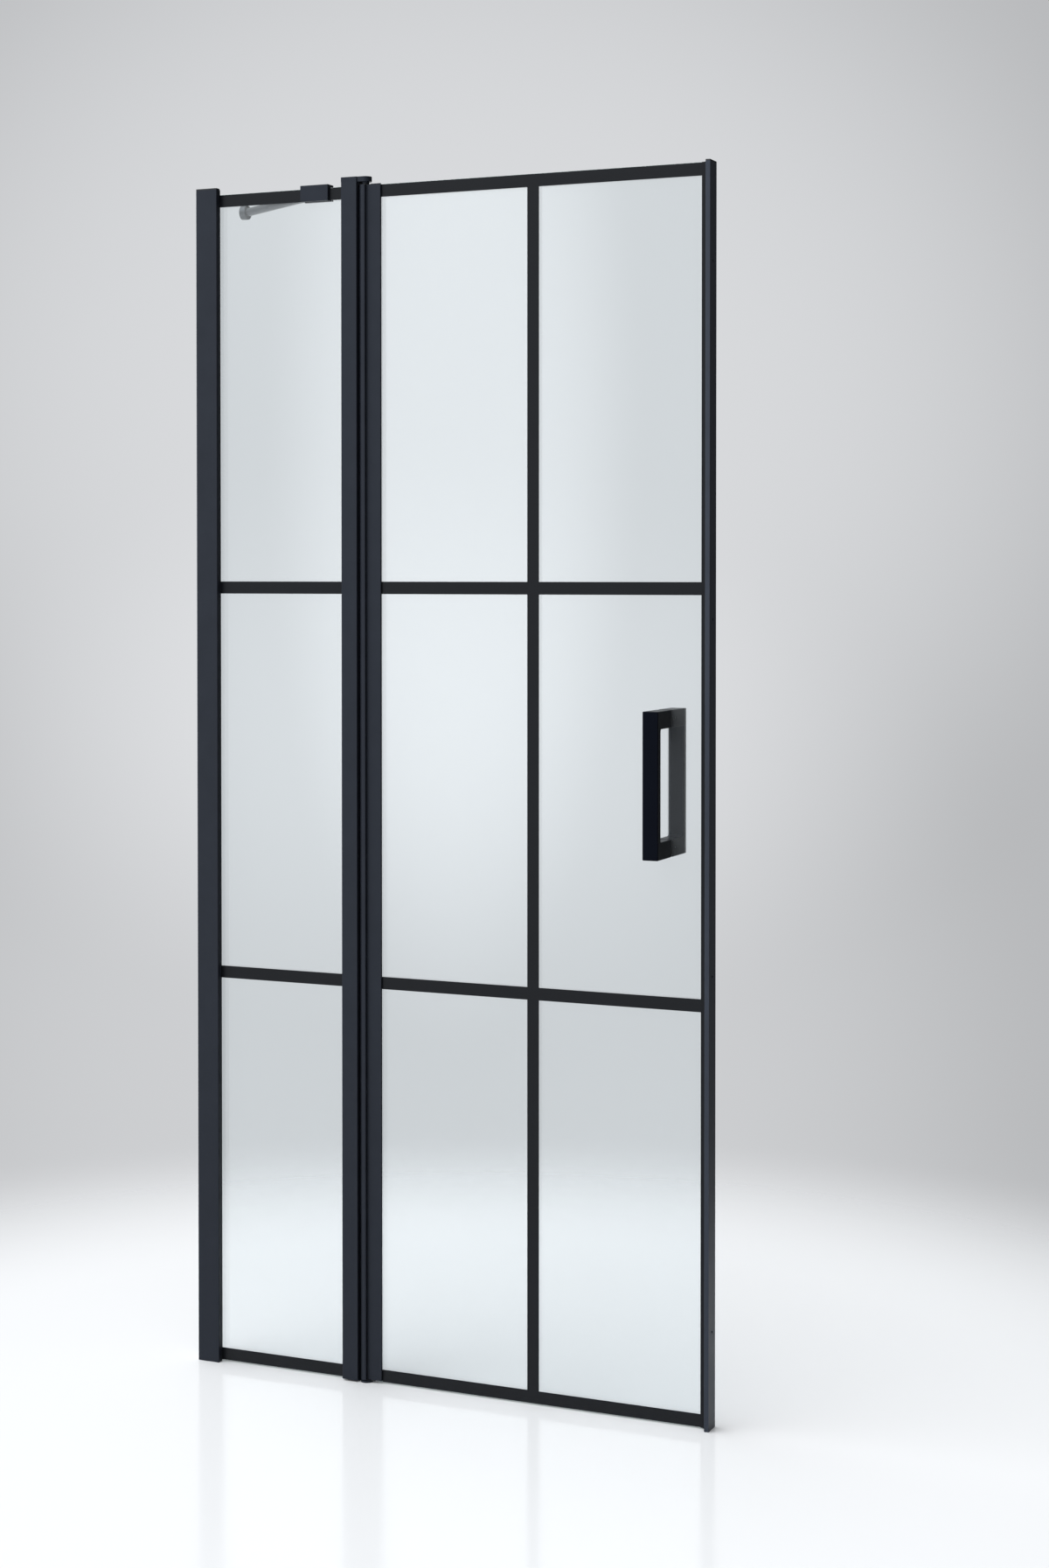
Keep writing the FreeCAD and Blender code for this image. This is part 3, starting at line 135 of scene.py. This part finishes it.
def plain_finish(name, colours, cloud, grain, gloss, depth, drawn=1, metal=0.0, shine=0.5):
    """A solid finish: soft clouds between two colours, and a fine grain in gloss and relief.

    cloud and grain are the sizes of their blots and depth is the grain's depth, all in metres. gloss is the
    roughness where the grain is lowest and highest, and drawn stretches the grain along Z as a die does.
    """
    finish, start = new_finish(name)
    clouds = speckle(start, cloud)
    grains = speckle(start, grain, drawn)
    smooth, rough = gloss
    set_surface(start, start.node("BsdfPrincipled", sockets={
        "Base Color": tone(start, clouds, *colours),
        "Metallic": metal,
        "Roughness": smooth + (rough - smooth) * grains,
        "Specular IOR Level": shine,
        "Normal": relief(start, grains, depth),
    }))
    return finish


def dress(finish, *names):
    """Puts the finish on CAD nodes."""
    for name in names:
        for place in nodes[name].material_slots:
            place.material = finish


mill_aluminium = plain_finish("mill_aluminium", MILL_COLOURS, cloud=0.02, grain=0.0004, gloss=(0.3, 0.5),
                              depth=0.00005, drawn=300, metal=1.0)
dress(mill_aluminium, "wall_channel")


# Panel profile: the extruded aluminium profile that holds the fixed glass, in satin black powder coat.
# The coat leaves a fine orange peel and softens the die lines; the profile slides over the wall channel
# and is held to it by the locking screws.

COAT_COLOUR = (0.0215, 0.025, 0.034)
COAT_SHEEN = (0.78, 0.87, 1.0, 1)
COAT_CLOUD = 0.035
COAT_CLOUD_TONE = 0.15
COAT_CLOUD_GLOSS = 0.12
PEEL = 0.0012
PEEL_GLOSS = 0.08
PEEL_DEPTH = 0.00004
COAT_DETAIL = 3.0
NOISE_MIDDLE = 0.5
DIE_LINE = 0.0009
DIE_LINE_DRAWN = 400
DIE_LINE_SHARE = 0.3


def powder_coat(name, colour, gloss, shine, die_depth=0.0):
    """Satin black coat: a fine peel all over, soft clouds in colour and gloss, and faint lines along Z."""
    finish, start = new_finish(name)
    peel = speckle(start, PEEL, detail=COAT_DETAIL)
    cloud = speckle(start, COAT_CLOUD, detail=COAT_DETAIL)
    dark = tuple((1 - COAT_CLOUD_TONE) * part for part in colour)
    light = tuple((1 + COAT_CLOUD_TONE) * part for part in colour)
    cloud_gloss = COAT_CLOUD_GLOSS * (cloud - NOISE_MIDDLE)
    peel_gloss = PEEL_GLOSS * (peel - NOISE_MIDDLE)
    height = peel
    if die_depth:
        lines = speckle(start, DIE_LINE, DIE_LINE_DRAWN)
        height = (1 - DIE_LINE_SHARE) * peel + DIE_LINE_SHARE * lines
    set_surface(start, start.node("BsdfPrincipled", sockets={
        "Base Color": tone(start, cloud, dark, light),
        "Roughness": gloss + cloud_gloss + peel_gloss,
        "Specular IOR Level": shine,
        "Specular Tint": COAT_SHEEN,
        "Normal": relief(start, height, PEEL_DEPTH + die_depth),
    }))
    return finish


black_aluminium = powder_coat("black_aluminium", COAT_COLOUR, gloss=0.4, shine=0.2, die_depth=0.00002)
dress(black_aluminium, "panel_profile")


# Profile cap: a black plastic cap that is pressed into the top end of the panel profile and closes it.
# It is injection moulded, and the mould's spark-eroded wall gives it a fine grain.

PLASTIC_COLOURS = (0.017, 0.018, 0.021), (0.025, 0.027, 0.031)

black_plastic = plain_finish("black_plastic", PLASTIC_COLOURS, cloud=0.015, grain=0.0005,
                             gloss=(0.48, 0.62), depth=0.00005, shine=0.4)
dress(black_plastic, "panel_profile_cap")


# Locking screws: three pan-head screws inside the shower that hold the panel profile to the wall channel.
# They are turned from steel and zinc plated, with a hexagon socket for the fitter's key in each head.

STEEL_COLOURS = (0.5, 0.5, 0.51), (0.64, 0.64, 0.65)
MM = 0.001
SHANK = 2.0
SCREW_RIM = 0.5
RIM_STEPS = 5
KEY_DEPTH = 0.6
HEX_FLATS = 6
TURNED_SIDES = 48
SHARP_EDGE = math.radians(35)
LOCK_COUNT = 3
LOCK_HEAD = 4.0
LOCK_HEAD_HEIGHT = 2.4
LOCK_KEY = 2.5
INTO_SHOWER = (0, 1, 0)


def screw_profile(length, key, head=0.0, head_height=0.0):
    """Rows (depth, radius, is a hexagon) in mm, from a screw's tip to its outer end and into its socket.

    Depth is counted inwards from the outer end. The tip is a short cone, and the outer rim is a quarter
    circle of radius SCREW_RIM. The socket is a hexagon, key wide across its flats and KEY_DEPTH keys deep.
    """
    turn = np.linspace(0, np.pi / 2, RIM_STEPS)
    rim_depth = SCREW_RIM * (1 - np.sin(turn))
    rim_radius = max(head, SHANK) - SCREW_RIM * (1 - np.cos(turn))
    rows = [(length, SHANK - SCREW_RIM, 0), (length - SCREW_RIM, SHANK, 0)]
    if head:
        rows += [(head_height, SHANK, 0), (head_height, head, 0)]
    rows += list(zip(rim_depth, rim_radius, np.zeros(RIM_STEPS)))
    rows += [(0, key / 2, 1), (KEY_DEPTH * key, key / 2, 1)]
    return np.array(rows, float)


def screws(profile, ends, outwards):
    """Points, triangles and quads of like screws, one with its outer end at each of the ends.

    A point is end - depth * outwards + radius * (cos a * across + sin a * beside). On a hexagon row the
    radius is divided by the cosine of the angle to the middle of the nearest flat. A point on the axis
    closes the tip, and another one closes the bottom of the socket. outwards gives each screw's direction,
    which lies along X, Y or Z.
    """
    depth = MM * profile[:, 0]
    angle = np.linspace(0, 2 * np.pi, TURNED_SIDES, endpoint=False)
    flat = 2 * np.pi / HEX_FLATS
    to_corner = 1 / np.cos(angle % flat - flat / 2)
    reach = MM * profile[:, 1:2] * np.where(profile[:, 2:] > 0, to_corner, 1.0)
    ends = np.array(ends, float)[:, None, None, :]
    along = np.array(outwards, float)[:, None, None, :]
    across = np.roll(along, 1, axis=-1)
    beside = np.cross(along, across)
    spokes = np.cos(angle)[:, None] * across + np.sin(angle)[:, None] * beside
    rings = ends - depth[:, None, None] * along + reach[..., None] * spokes
    tips = (ends - depth[0] * along)[:, 0]
    floors = (ends - depth[-1] * along)[:, 0]
    copies = len(ends)
    points = np.concatenate([tips, rings.reshape(copies, -1, 3), floors], axis=1)
    here = np.arange(TURNED_SIDES)
    after = np.roll(here, -1)
    row = 1 + TURNED_SIDES * np.arange(len(profile))[:, None]
    quads = np.stack([row[:-1] + here, row[:-1] + after, row[1:] + after, row[1:] + here], axis=-1)
    tip_fan = np.stack([0 * here, row[0] + after, row[0] + here], axis=1)
    floor_fan = np.stack([0 * here + points.shape[1] - 1, row[-1] + here, row[-1] + after], axis=1)
    shift = points.shape[1] * np.arange(copies)[:, None, None]
    triangles = np.concatenate([tip_fan, floor_fan]) + shift
    return points.reshape(-1, 3), triangles.reshape(-1, 3), (quads.reshape(-1, 4) + shift).reshape(-1, 4)


def new_piece(name, finish, *surfaces):
    """One mesh object of the surfaces' points, triangles and quads, smooth apart from its sharp edges."""
    points = np.concatenate([surface[0] for surface in surfaces])
    faces = []
    count = 0
    for surface_points, triangles, quads in surfaces:
        faces += (triangles + count).tolist() + (quads + count).tolist()
        count += len(surface_points)
    mesh = bpy.data.meshes.new(name)
    mesh.from_pydata(points.tolist(), [], faces)
    mesh.shade_smooth()
    mesh.set_sharp_from_angle(angle=SHARP_EDGE)
    mesh.materials.append(finish)
    piece = bpy.data.objects.new(name, mesh)
    bpy.context.scene.collection.objects.link(piece)
    return piece


steel = plain_finish("steel", STEEL_COLOURS, cloud=0.004, grain=0.0003, gloss=(0.28, 0.46), depth=0.00002,
                     metal=1.0)
low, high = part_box("panel_lock_screws")
lock_profile = screw_profile((high[1] - low[1]) / MM, LOCK_KEY, LOCK_HEAD, LOCK_HEAD_HEIGHT)
lock_heights = np.linspace(low[2] + MM * LOCK_HEAD, high[2] - MM * LOCK_HEAD, LOCK_COUNT)
lock_ends = [((low[0] + high[0]) / 2, high[1], height) for height in lock_heights]
lock_set = screws(lock_profile, lock_ends, [INTO_SHOWER] * len(lock_ends))
lock_screws = new_piece("lock_screws", steel, lock_set)
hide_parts("panel_lock_screws")
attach(lock_screws, "frame")


# Fixed pane: 6 mm clear safety glass with polished edges, held in the slots of panel profile and post.
# Clear float glass is faintly green, most of all along its edges. Its two faces together mirror about an
# eighth of the light here, and a thin film of dried water veils it a little.

GLASS_TINT = (0.958, 0.977, 0.983, 1)
GLASS_MIRROR = (0.97, 0.99, 1.0, 1)
MIRROR_HEAD_ON = 0.0675
MIRROR_GAIN = 0.93
MIRROR_RISE = 5
FILM_COLOUR = (0.86, 0.9, 0.92, 1)
FILM_LEAST = 0.035
FILM_MORE = 0.015
FILM_BLOTS = 0.25
FILM_ROUGHNESS = 0.5
EDGE_TINT = (0.5, 0.68, 0.64, 1)
EDGE_COLOUR = (0.3, 0.46, 0.43, 1)
EDGE_BODY = 0.6
EDGE_ROUGHNESS = 0.2
EDGE_SLOPE = 0.2
OBJECT_NORMAL = 1
FACING = 1
FACING_BLEND = 0.5
ACROSS_PANE = 1


def pane_glass(name):
    """Clear glass: see-through with a cool tint, a mirror that grows at flat angles, and greener edges."""
    finish, start = new_finish(name)
    film = speckle(start, FILM_BLOTS)
    facing = start.node("LayerWeight", sockets={"Blend": FACING_BLEND}, output=FACING)
    through = start.node("BsdfTransparent", sockets={"Color": GLASS_TINT})
    veil = start.node("BsdfPrincipled", sockets={
        "Base Color": FILM_COLOUR,
        "Roughness": FILM_ROUGHNESS,
        "Specular IOR Level": 0.0,
    })
    clear = start.node("MixShader", sockets={0: FILM_LEAST + FILM_MORE * film, 1: through, 2: veil})
    mirror = start.node("BsdfAnisotropic", sockets={"Color": GLASS_MIRROR, "Roughness": 0.0})
    mirrored = MIRROR_HEAD_ON + MIRROR_GAIN * facing ** MIRROR_RISE
    face = start.node("MixShader", sockets={0: mirrored, 1: clear, 2: mirror})
    normal = start.node("TexCoord", output=OBJECT_NORMAL)
    across = start.node("SeparateXYZ", sockets={0: normal}, output=ACROSS_PANE)
    edge = start.node("Math", {"operation": "LESS_THAN"}, {0: across * across, 1: EDGE_SLOPE})
    edge_through = start.node("BsdfTransparent", sockets={"Color": EDGE_TINT})
    edge_body = start.node("BsdfPrincipled", sockets={
        "Base Color": EDGE_COLOUR,
        "Roughness": EDGE_ROUGHNESS,
    })
    rim = start.node("MixShader", sockets={0: EDGE_BODY, 1: edge_through, 2: edge_body})
    set_surface(start, start.node("MixShader", sockets={0: edge, 1: face, 2: rim}))
    return finish


clear_glass = pane_glass("clear_glass")
dress(clear_glass, "fixed_glass")


# Printed bars: black ceramic enamel, silk-screened on the outer face of the pane and fired into the glass.
# The fired print is even and smooth, a little less glossy than the bare glass, and keeps a trace of the
# printing screen's mesh.

ENAMEL_COLOURS = (0.009, 0.0105, 0.013), (0.0115, 0.013, 0.0165)

black_enamel = plain_finish("black_enamel", ENAMEL_COLOURS, cloud=0.05, grain=0.0006, gloss=(0.25, 0.37),
                            depth=0.00001, shine=0.16)
dress(black_enamel, "fixed_grid")


# Glazing gaskets: strips of black rubber that are pressed in between glass and profile on both faces.
# They are extruded, and their matt surface has the faint grey bloom of cured rubber.

RUBBER_COLOURS = (0.011, 0.011, 0.012), (0.02, 0.02, 0.021)

black_rubber = plain_finish("black_rubber", RUBBER_COLOURS, cloud=0.003, grain=0.003, gloss=(0.62, 0.82),
                            depth=0.00005)
dress(black_rubber, "wall_gaskets", "post_gaskets")


# Hinge post: the aluminium extrusion between the fixed pane and the door, which stands on the floor.
# It holds the pane in a slot and carries the pivot arms on its ends, in the same satin black coat.

dress(black_aluminium, "hinge_post")


# Hinge seal: a fin of black rubber that closes the gap behind the hinge at every angle of the door.
# It is extruded, and its foot is pushed into the groove of the hinge post.

dress(black_rubber, "hinge_seal")


# Pivot arms: two zinc castings that hold the door's pivot pins in their eyes, above and below the stile.
# Each lies on one end of the hinge post, is coated black, and is held by a single screw.

CASTING_COLOUR = (0.0205, 0.024, 0.033)

black_casting = powder_coat("black_casting", CASTING_COLOUR, gloss=0.38, shine=0.2)
dress(black_casting, "top_pivot_arm", "bottom_pivot_arm")


# Arm screws: cap screws sunk flush in the pivot arms, one from above and one from below.
# They are zinc-plated steel with a hexagon socket, and cut their thread in the post's screw channel.

ARM_HEAD = 3.5
ARM_HEAD_HEIGHT = 1.8
ARM_KEY = 2.5
ARM_LENGTH = 23.8
UPWARDS = (0, 0, 1)
DOWNWARDS = (0, 0, -1)

low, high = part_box("arm_screws")
arm_x = (low[0] + high[0]) / 2
arm_y = (low[1] + high[1]) / 2
arm_profile = screw_profile(ARM_LENGTH, ARM_KEY, ARM_HEAD, ARM_HEAD_HEIGHT)
arm_ends = [(arm_x, arm_y, low[2]), (arm_x, arm_y, high[2])]
arm_set = screws(arm_profile, arm_ends, [DOWNWARDS, UPWARDS])
arm_screws = new_piece("flush_screws", steel, arm_set)
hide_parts("arm_screws")
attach(arm_screws, "frame")


# Pivots: hardened steel pins, fast in the pivot arms, on which the door's flanged bushes turn.
# The bushes are moulded from black bearing nylon, and the lower flange carries the door's weight.

NYLON_COLOURS = (0.012, 0.0125, 0.0135), (0.02, 0.021, 0.0225)

nylon = plain_finish("nylon", NYLON_COLOURS, cloud=0.004, grain=0.004, gloss=(0.42, 0.52), depth=0.00003)
dress(steel, "top_pivot_pin", "bottom_pivot_pin")
dress(nylon, "top_bush", "bottom_bush")


# Door stile: the door's extrusion at the hinge, with the barrel for the bushes and a slot for the pane.
# It is coated as the frame is, and moulded plastic caps are pressed on its two ends.

dress(black_aluminium, "door_stile")
dress(black_plastic, "stile_top_cap", "stile_bottom_cap")


# Door pane: 6 mm clear safety glass, held in the slot of the stile by rubber gaskets.
# Its bars are printed and fired on its outer face, in line with those of the fixed pane.

dress(clear_glass, "door_glass")
dress(black_enamel, "door_grid")
dress(black_rubber, "door_gaskets")


# Closing edge: a black seal profile, clipped on the free edge of the door, with a magnet strip in it.
# The seal is extruded, so fine lines run along it, and the strip is magnet powder bound in rubber.

SEAL_COLOURS = (0.0075, 0.0085, 0.011), (0.0105, 0.0115, 0.015)

black_seal = plain_finish("black_seal", SEAL_COLOURS, cloud=0.01, grain=0.001, gloss=(0.4, 0.54),
                          depth=0.00003, drawn=200, shine=0.16)
dress(black_seal, "door_magnet_seal")
dress(black_rubber, "door_magnet")


# Handle: two square bows of cast metal in black coat, one on each face of the door pane.
# Studs through the glass join them with rubber pads on the faces, and grub screws in the inner bow's legs
# hold it on the studs.

HANDLE_COLOUR = (0.0028, 0.0038, 0.008)
GRUB_KEY = 2.0
TO_THE_RIGHT = (1, 0, 0)

handle_black = powder_coat("handle_black", HANDLE_COLOUR, gloss=0.3, shine=0.05)
dress(handle_black, "handle_outer", "handle_inner")
dress(black_rubber, "handle_pads")
dress(steel, "handle_studs")
low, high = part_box("handle_grub_screws")
leg_y = (low[1] + high[1]) / 2
leg_profile = screw_profile((high[0] - low[0]) / MM, GRUB_KEY)
leg_ends = [(high[0], leg_y, low[2] + MM * SHANK), (high[0], leg_y, high[2] - MM * SHANK)]
leg_set = screws(leg_profile, leg_ends, [TO_THE_RIGHT] * len(leg_ends))
leg_screws = new_piece("handle_set_screws", steel, leg_set)
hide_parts("handle_grub_screws")
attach(leg_screws, "door")


# Strike profile: the slim extrusion that is screwed to the right wall and stops the closing door.
# It is coated black, holds a magnet strip that meets the door's, and has a plastic cap on top.

# Painted light: the strike's coat is a lighter copy of the frame's black coat, for the light that falls on
# the strike.
STRIKE_LIT_COLOUR = (0.038, 0.045, 0.061)

lit_strike_coat = powder_coat("lit_strike_coat", STRIKE_LIT_COLOUR, gloss=0.4, shine=0.28, die_depth=0.00002)
dress(lit_strike_coat, "strike_profile")
dress(black_rubber, "strike_magnet")
dress(black_plastic, "strike_cap")


# Brace clip: a coated casting that sits over the top edge of the fixed pane and holds the stabiliser.
# Two screws in its rear jaw press a steel plate on the glass, with rubber pads between metal and glass.

CLIP_KEY = 2.0

dress(black_casting, "brace_clip")
dress(steel, "brace_pressure_plate")
dress(black_rubber, "brace_clip_pads")
low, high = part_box("brace_clip_screws")
clip_z = (low[2] + high[2]) / 2
clip_profile = screw_profile((high[1] - low[1]) / MM, CLIP_KEY)
clip_ends = [(low[0] + MM * SHANK, high[1], clip_z), (high[0] - MM * SHANK, high[1], clip_z)]
clip_set = screws(clip_profile, clip_ends, [INTO_SHOWER] * len(clip_ends))
clip_screws = new_piece("clamp_screws", steel, clip_set)
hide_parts("brace_clip_screws")
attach(clip_screws, "frame")


# Stabiliser: a round bar of satin grey steel from the clip to a flange on the wall behind the screen.
# The flange is screwed to the wall through its plate, and a grub screw at each end holds the bar.

SATIN_COLOURS = (0.045, 0.05, 0.056), (0.065, 0.07, 0.077)
FLANGE_GRUB_LENGTH = 4.4
CLIP_GRUB_LENGTH = 2.9

satin_metal = plain_finish("satin_metal", SATIN_COLOURS, cloud=0.02, grain=0.0006, gloss=(0.28, 0.42),
                           depth=0.00002, metal=1.0)
dress(satin_metal, "brace_bar", "brace_flange", "brace_wall_plate")
low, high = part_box("brace_grub_screws")
flange_end = (low[0] + MM * SHANK, high[1] - MM * SHANK, high[2] - MM * FLANGE_GRUB_LENGTH)
clip_end = (high[0] - MM * SHANK, low[1] + MM * SHANK, high[2] - MM * CLIP_GRUB_LENGTH)
flange_grub = screws(screw_profile(FLANGE_GRUB_LENGTH, GRUB_KEY), [flange_end], [DOWNWARDS])
clip_grub = screws(screw_profile(CLIP_GRUB_LENGTH, GRUB_KEY), [clip_end], [DOWNWARDS])
bar_screws = new_piece("bar_set_screws", steel, flange_grub, clip_grub)
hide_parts("brace_grub_screws")
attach(bar_screws, "frame")


# Studio floor: a plain pale floor with a soft polish, which fades out round the screen.
# It is darker to light that it would throw back on the frame, as a floor with shade beside it is.

FLOOR_COLOUR = (0.93, 0.935, 0.945, 1)
FLOOR_DIM = (0.12, 0.12, 0.123, 1)
FLOOR_CENTRE = (0.45, 0.0, 0.0)
FLOOR_RADIUS = 2.4
FLOOR_RINGS = 12
FLOOR_SIDES = 96
FLOOR_FULL = 0.9
FLOOR_GONE = 1.9
FLOOR_ROUGHNESS = 0.08
FLOOR_DULLER = 0.08
FLOOR_DULL_SPOTS = 0.4
IS_DIFFUSE = 2
DISTANCE = 1


def disc(centre, radius, rings, sides):
    """A flat disc: a point is centre + reach * (cos a, sin a, 0), with rings at even steps of reach."""
    angle = np.linspace(0, 2 * np.pi, sides, endpoint=False)
    reach = radius * np.arange(1, rings + 1) / rings
    spokes = np.stack([np.cos(angle), np.sin(angle), 0 * angle], axis=1)
    points = np.concatenate([np.zeros((1, 3)), (reach[:, None, None] * spokes).reshape(-1, 3)])
    here = np.arange(sides)
    after = np.roll(here, -1)
    fan = np.stack([0 * here, 1 + here, 1 + after], axis=1)
    near = 1 + sides * np.arange(rings - 1)[:, None]
    far = near + sides
    bands = np.stack([near + here, far + here, far + after, near + after], axis=-1)
    return points + np.array(centre), fan, bands.reshape(-1, 4)


pale_floor, start = new_finish("pale_floor")
place = start.node("TexCoord", output=OBJECT_PLACE)
away = start.node("VectorMath", {"operation": "DISTANCE"}, {0: place, 1: FLOOR_CENTRE}, output=DISTANCE)
fading = start.node("MapRange", {"interpolation_type": "SMOOTHSTEP"}, {
    "Value": away,
    "From Min": FLOOR_FULL,
    "From Max": FLOOR_GONE,
})
floor_body = start.node("BsdfPrincipled", sockets={
    "Base Color": FLOOR_COLOUR,
    "Roughness": FLOOR_ROUGHNESS + FLOOR_DULLER * speckle(start, FLOOR_DULL_SPOTS),
})
floor_dim = start.node("BsdfDiffuse", sockets={"Color": FLOOR_DIM})
bounced = start.node("LightPath", output=IS_DIFFUSE)
floor_seen = start.node("MixShader", sockets={0: bounced, 1: floor_body, 2: floor_dim})
floor_open = start.node("BsdfTransparent")
set_surface(start, start.node("MixShader", sockets={0: fading, 1: floor_seen, 2: floor_open}))
floor = new_piece("studio_floor", pale_floor, disc(FLOOR_CENTRE, FLOOR_RADIUS, FLOOR_RINGS, FLOOR_SIDES))


# Studio light: a soft sky with a tall lamp at the front left, a lamp overhead and shade at the right.
# The panes mirror the tall lamp. The pale grey background has painted light in soft glows behind the
# screen.

LIGHT_COLOUR = (0.97, 0.985, 1.0, 1)
BACKDROP_COLOUR = (0.96, 0.975, 1.0, 1)
SKY = 0.27
ROOM = 0.42
KEY = 1.15
KEY_FLATTEN = 0.3
FILL = 0.3
UNDERNEATH = 0.6
OVERHEAD = 2.2
FLAG = 0.9
BACKDROP = 0.5
BEHIND = 0.22
BEHIND_FLATTEN = 1.15
LOW_BEHIND = 0.14
BELOW = 0.45
DOT = 1
DIRECTION = 0
IS_CAMERA = 0

studio = bpy.data.worlds.new("studio")
bpy.context.scene.world = studio
studio.use_nodes = True
studio.node_tree.nodes.clear()
start = Field(studio.node_tree)
direction = start.node("TexCoord", output=DIRECTION)


def glow(towards, inner_deg, outer_deg, flatten=1.0):
    """A soft light in the sky: 1 within inner_deg of the direction, 0 beyond outer_deg.

    It is round, or tall where heights are flattened before the angle is taken.
    """
    flat = (towards[0], towards[1], flatten * towards[2])
    length = math.sqrt(sum(part * part for part in flat))
    axis = tuple(part / length for part in flat)
    squeezed = start.node("VectorMath", {"operation": "MULTIPLY"}, {0: direction, 1: (1, 1, flatten)})
    unit = start.node("VectorMath", {"operation": "NORMALIZE"}, {0: squeezed})
    along = start.node("VectorMath", {"operation": "DOT_PRODUCT"}, {0: unit, 1: axis}, output=DOT)
    return start.node("MapRange", {"interpolation_type": "SMOOTHSTEP"}, {
        "Value": along,
        "From Min": math.cos(math.radians(outer_deg)),
        "From Max": math.cos(math.radians(inner_deg)),
    })


key = glow(towards=(-0.425, -0.905, 0.06), inner_deg=0.5, outer_deg=4.4, flatten=KEY_FLATTEN)
underneath = glow(towards=(0.0, 0.0, -1.0), inner_deg=60, outer_deg=92)
overhead = glow(towards=(-0.45, -0.35, 1.0), inner_deg=15, outer_deg=60)
room = glow(towards=(-0.45, -0.89, 0.0), inner_deg=25, outer_deg=85)
flag = glow(towards=(0.97, 0.24, 0.0), inner_deg=35, outer_deg=98)
fill = glow(towards=(-0.8, 0.6, 0.1), inner_deg=20, outer_deg=70)
around = SKY + ROOM * room + KEY * key + FILL * fill + UNDERNEATH * underneath
light = start.node("Background", sockets={
    "Color": LIGHT_COLOUR,
    "Strength": (1 - FLAG * flag) * around + OVERHEAD * overhead,
})
# Painted light: the backdrop that the camera sees is lighter in soft glows behind the screen, also where it
# shows through the panes.
behind = glow(towards=(-0.42, 0.9, 0.07), inner_deg=1, outer_deg=17, flatten=BEHIND_FLATTEN)
low_behind = glow(towards=(-0.43, 0.88, -0.2), inner_deg=1, outer_deg=15)
below = glow(towards=(0.0, 0.0, -1.0), inner_deg=66, outer_deg=78)
backdrop = start.node("Background", sockets={
    "Color": BACKDROP_COLOUR,
    "Strength": BACKDROP + BEHIND * behind + LOW_BEHIND * low_behind + BELOW * below,
})
seen = start.node("LightPath", output=IS_CAMERA)
shown = start.node("MixShader", sockets={0: seen, 1: light, 2: backdrop})
world_output = studio.node_tree.nodes.new("ShaderNodeOutputWorld")
studio.node_tree.links.new(shown.socket, world_output.inputs["Surface"])


# Camera: it stands in front of the screen to the right of its middle, at chest height, and looks almost
# level. The lens is shifted downwards instead of the camera being tipped more, so that upright edges stay
# nearly upright.

CAMERA_PLACE = (2.1797, -3.6515, 1.3089)
CAMERA_LEVEL = 90
CAMERA_TURN = 23.562
CAMERA_TILT = -1.04
CAMERA_LENS = 58.224
CAMERA_SHIFT = -0.10435

camera = bpy.data.objects.new("camera", bpy.data.cameras.new("camera"))
camera.location = CAMERA_PLACE
camera.rotation_euler = (math.radians(CAMERA_LEVEL + CAMERA_TILT), 0, math.radians(CAMERA_TURN))
camera.data.lens = CAMERA_LENS
camera.data.shift_y = CAMERA_SHIFT
bpy.context.scene.collection.objects.link(camera)
bpy.context.scene.camera = camera
bpy.context.scene.view_settings.view_transform = "Standard"
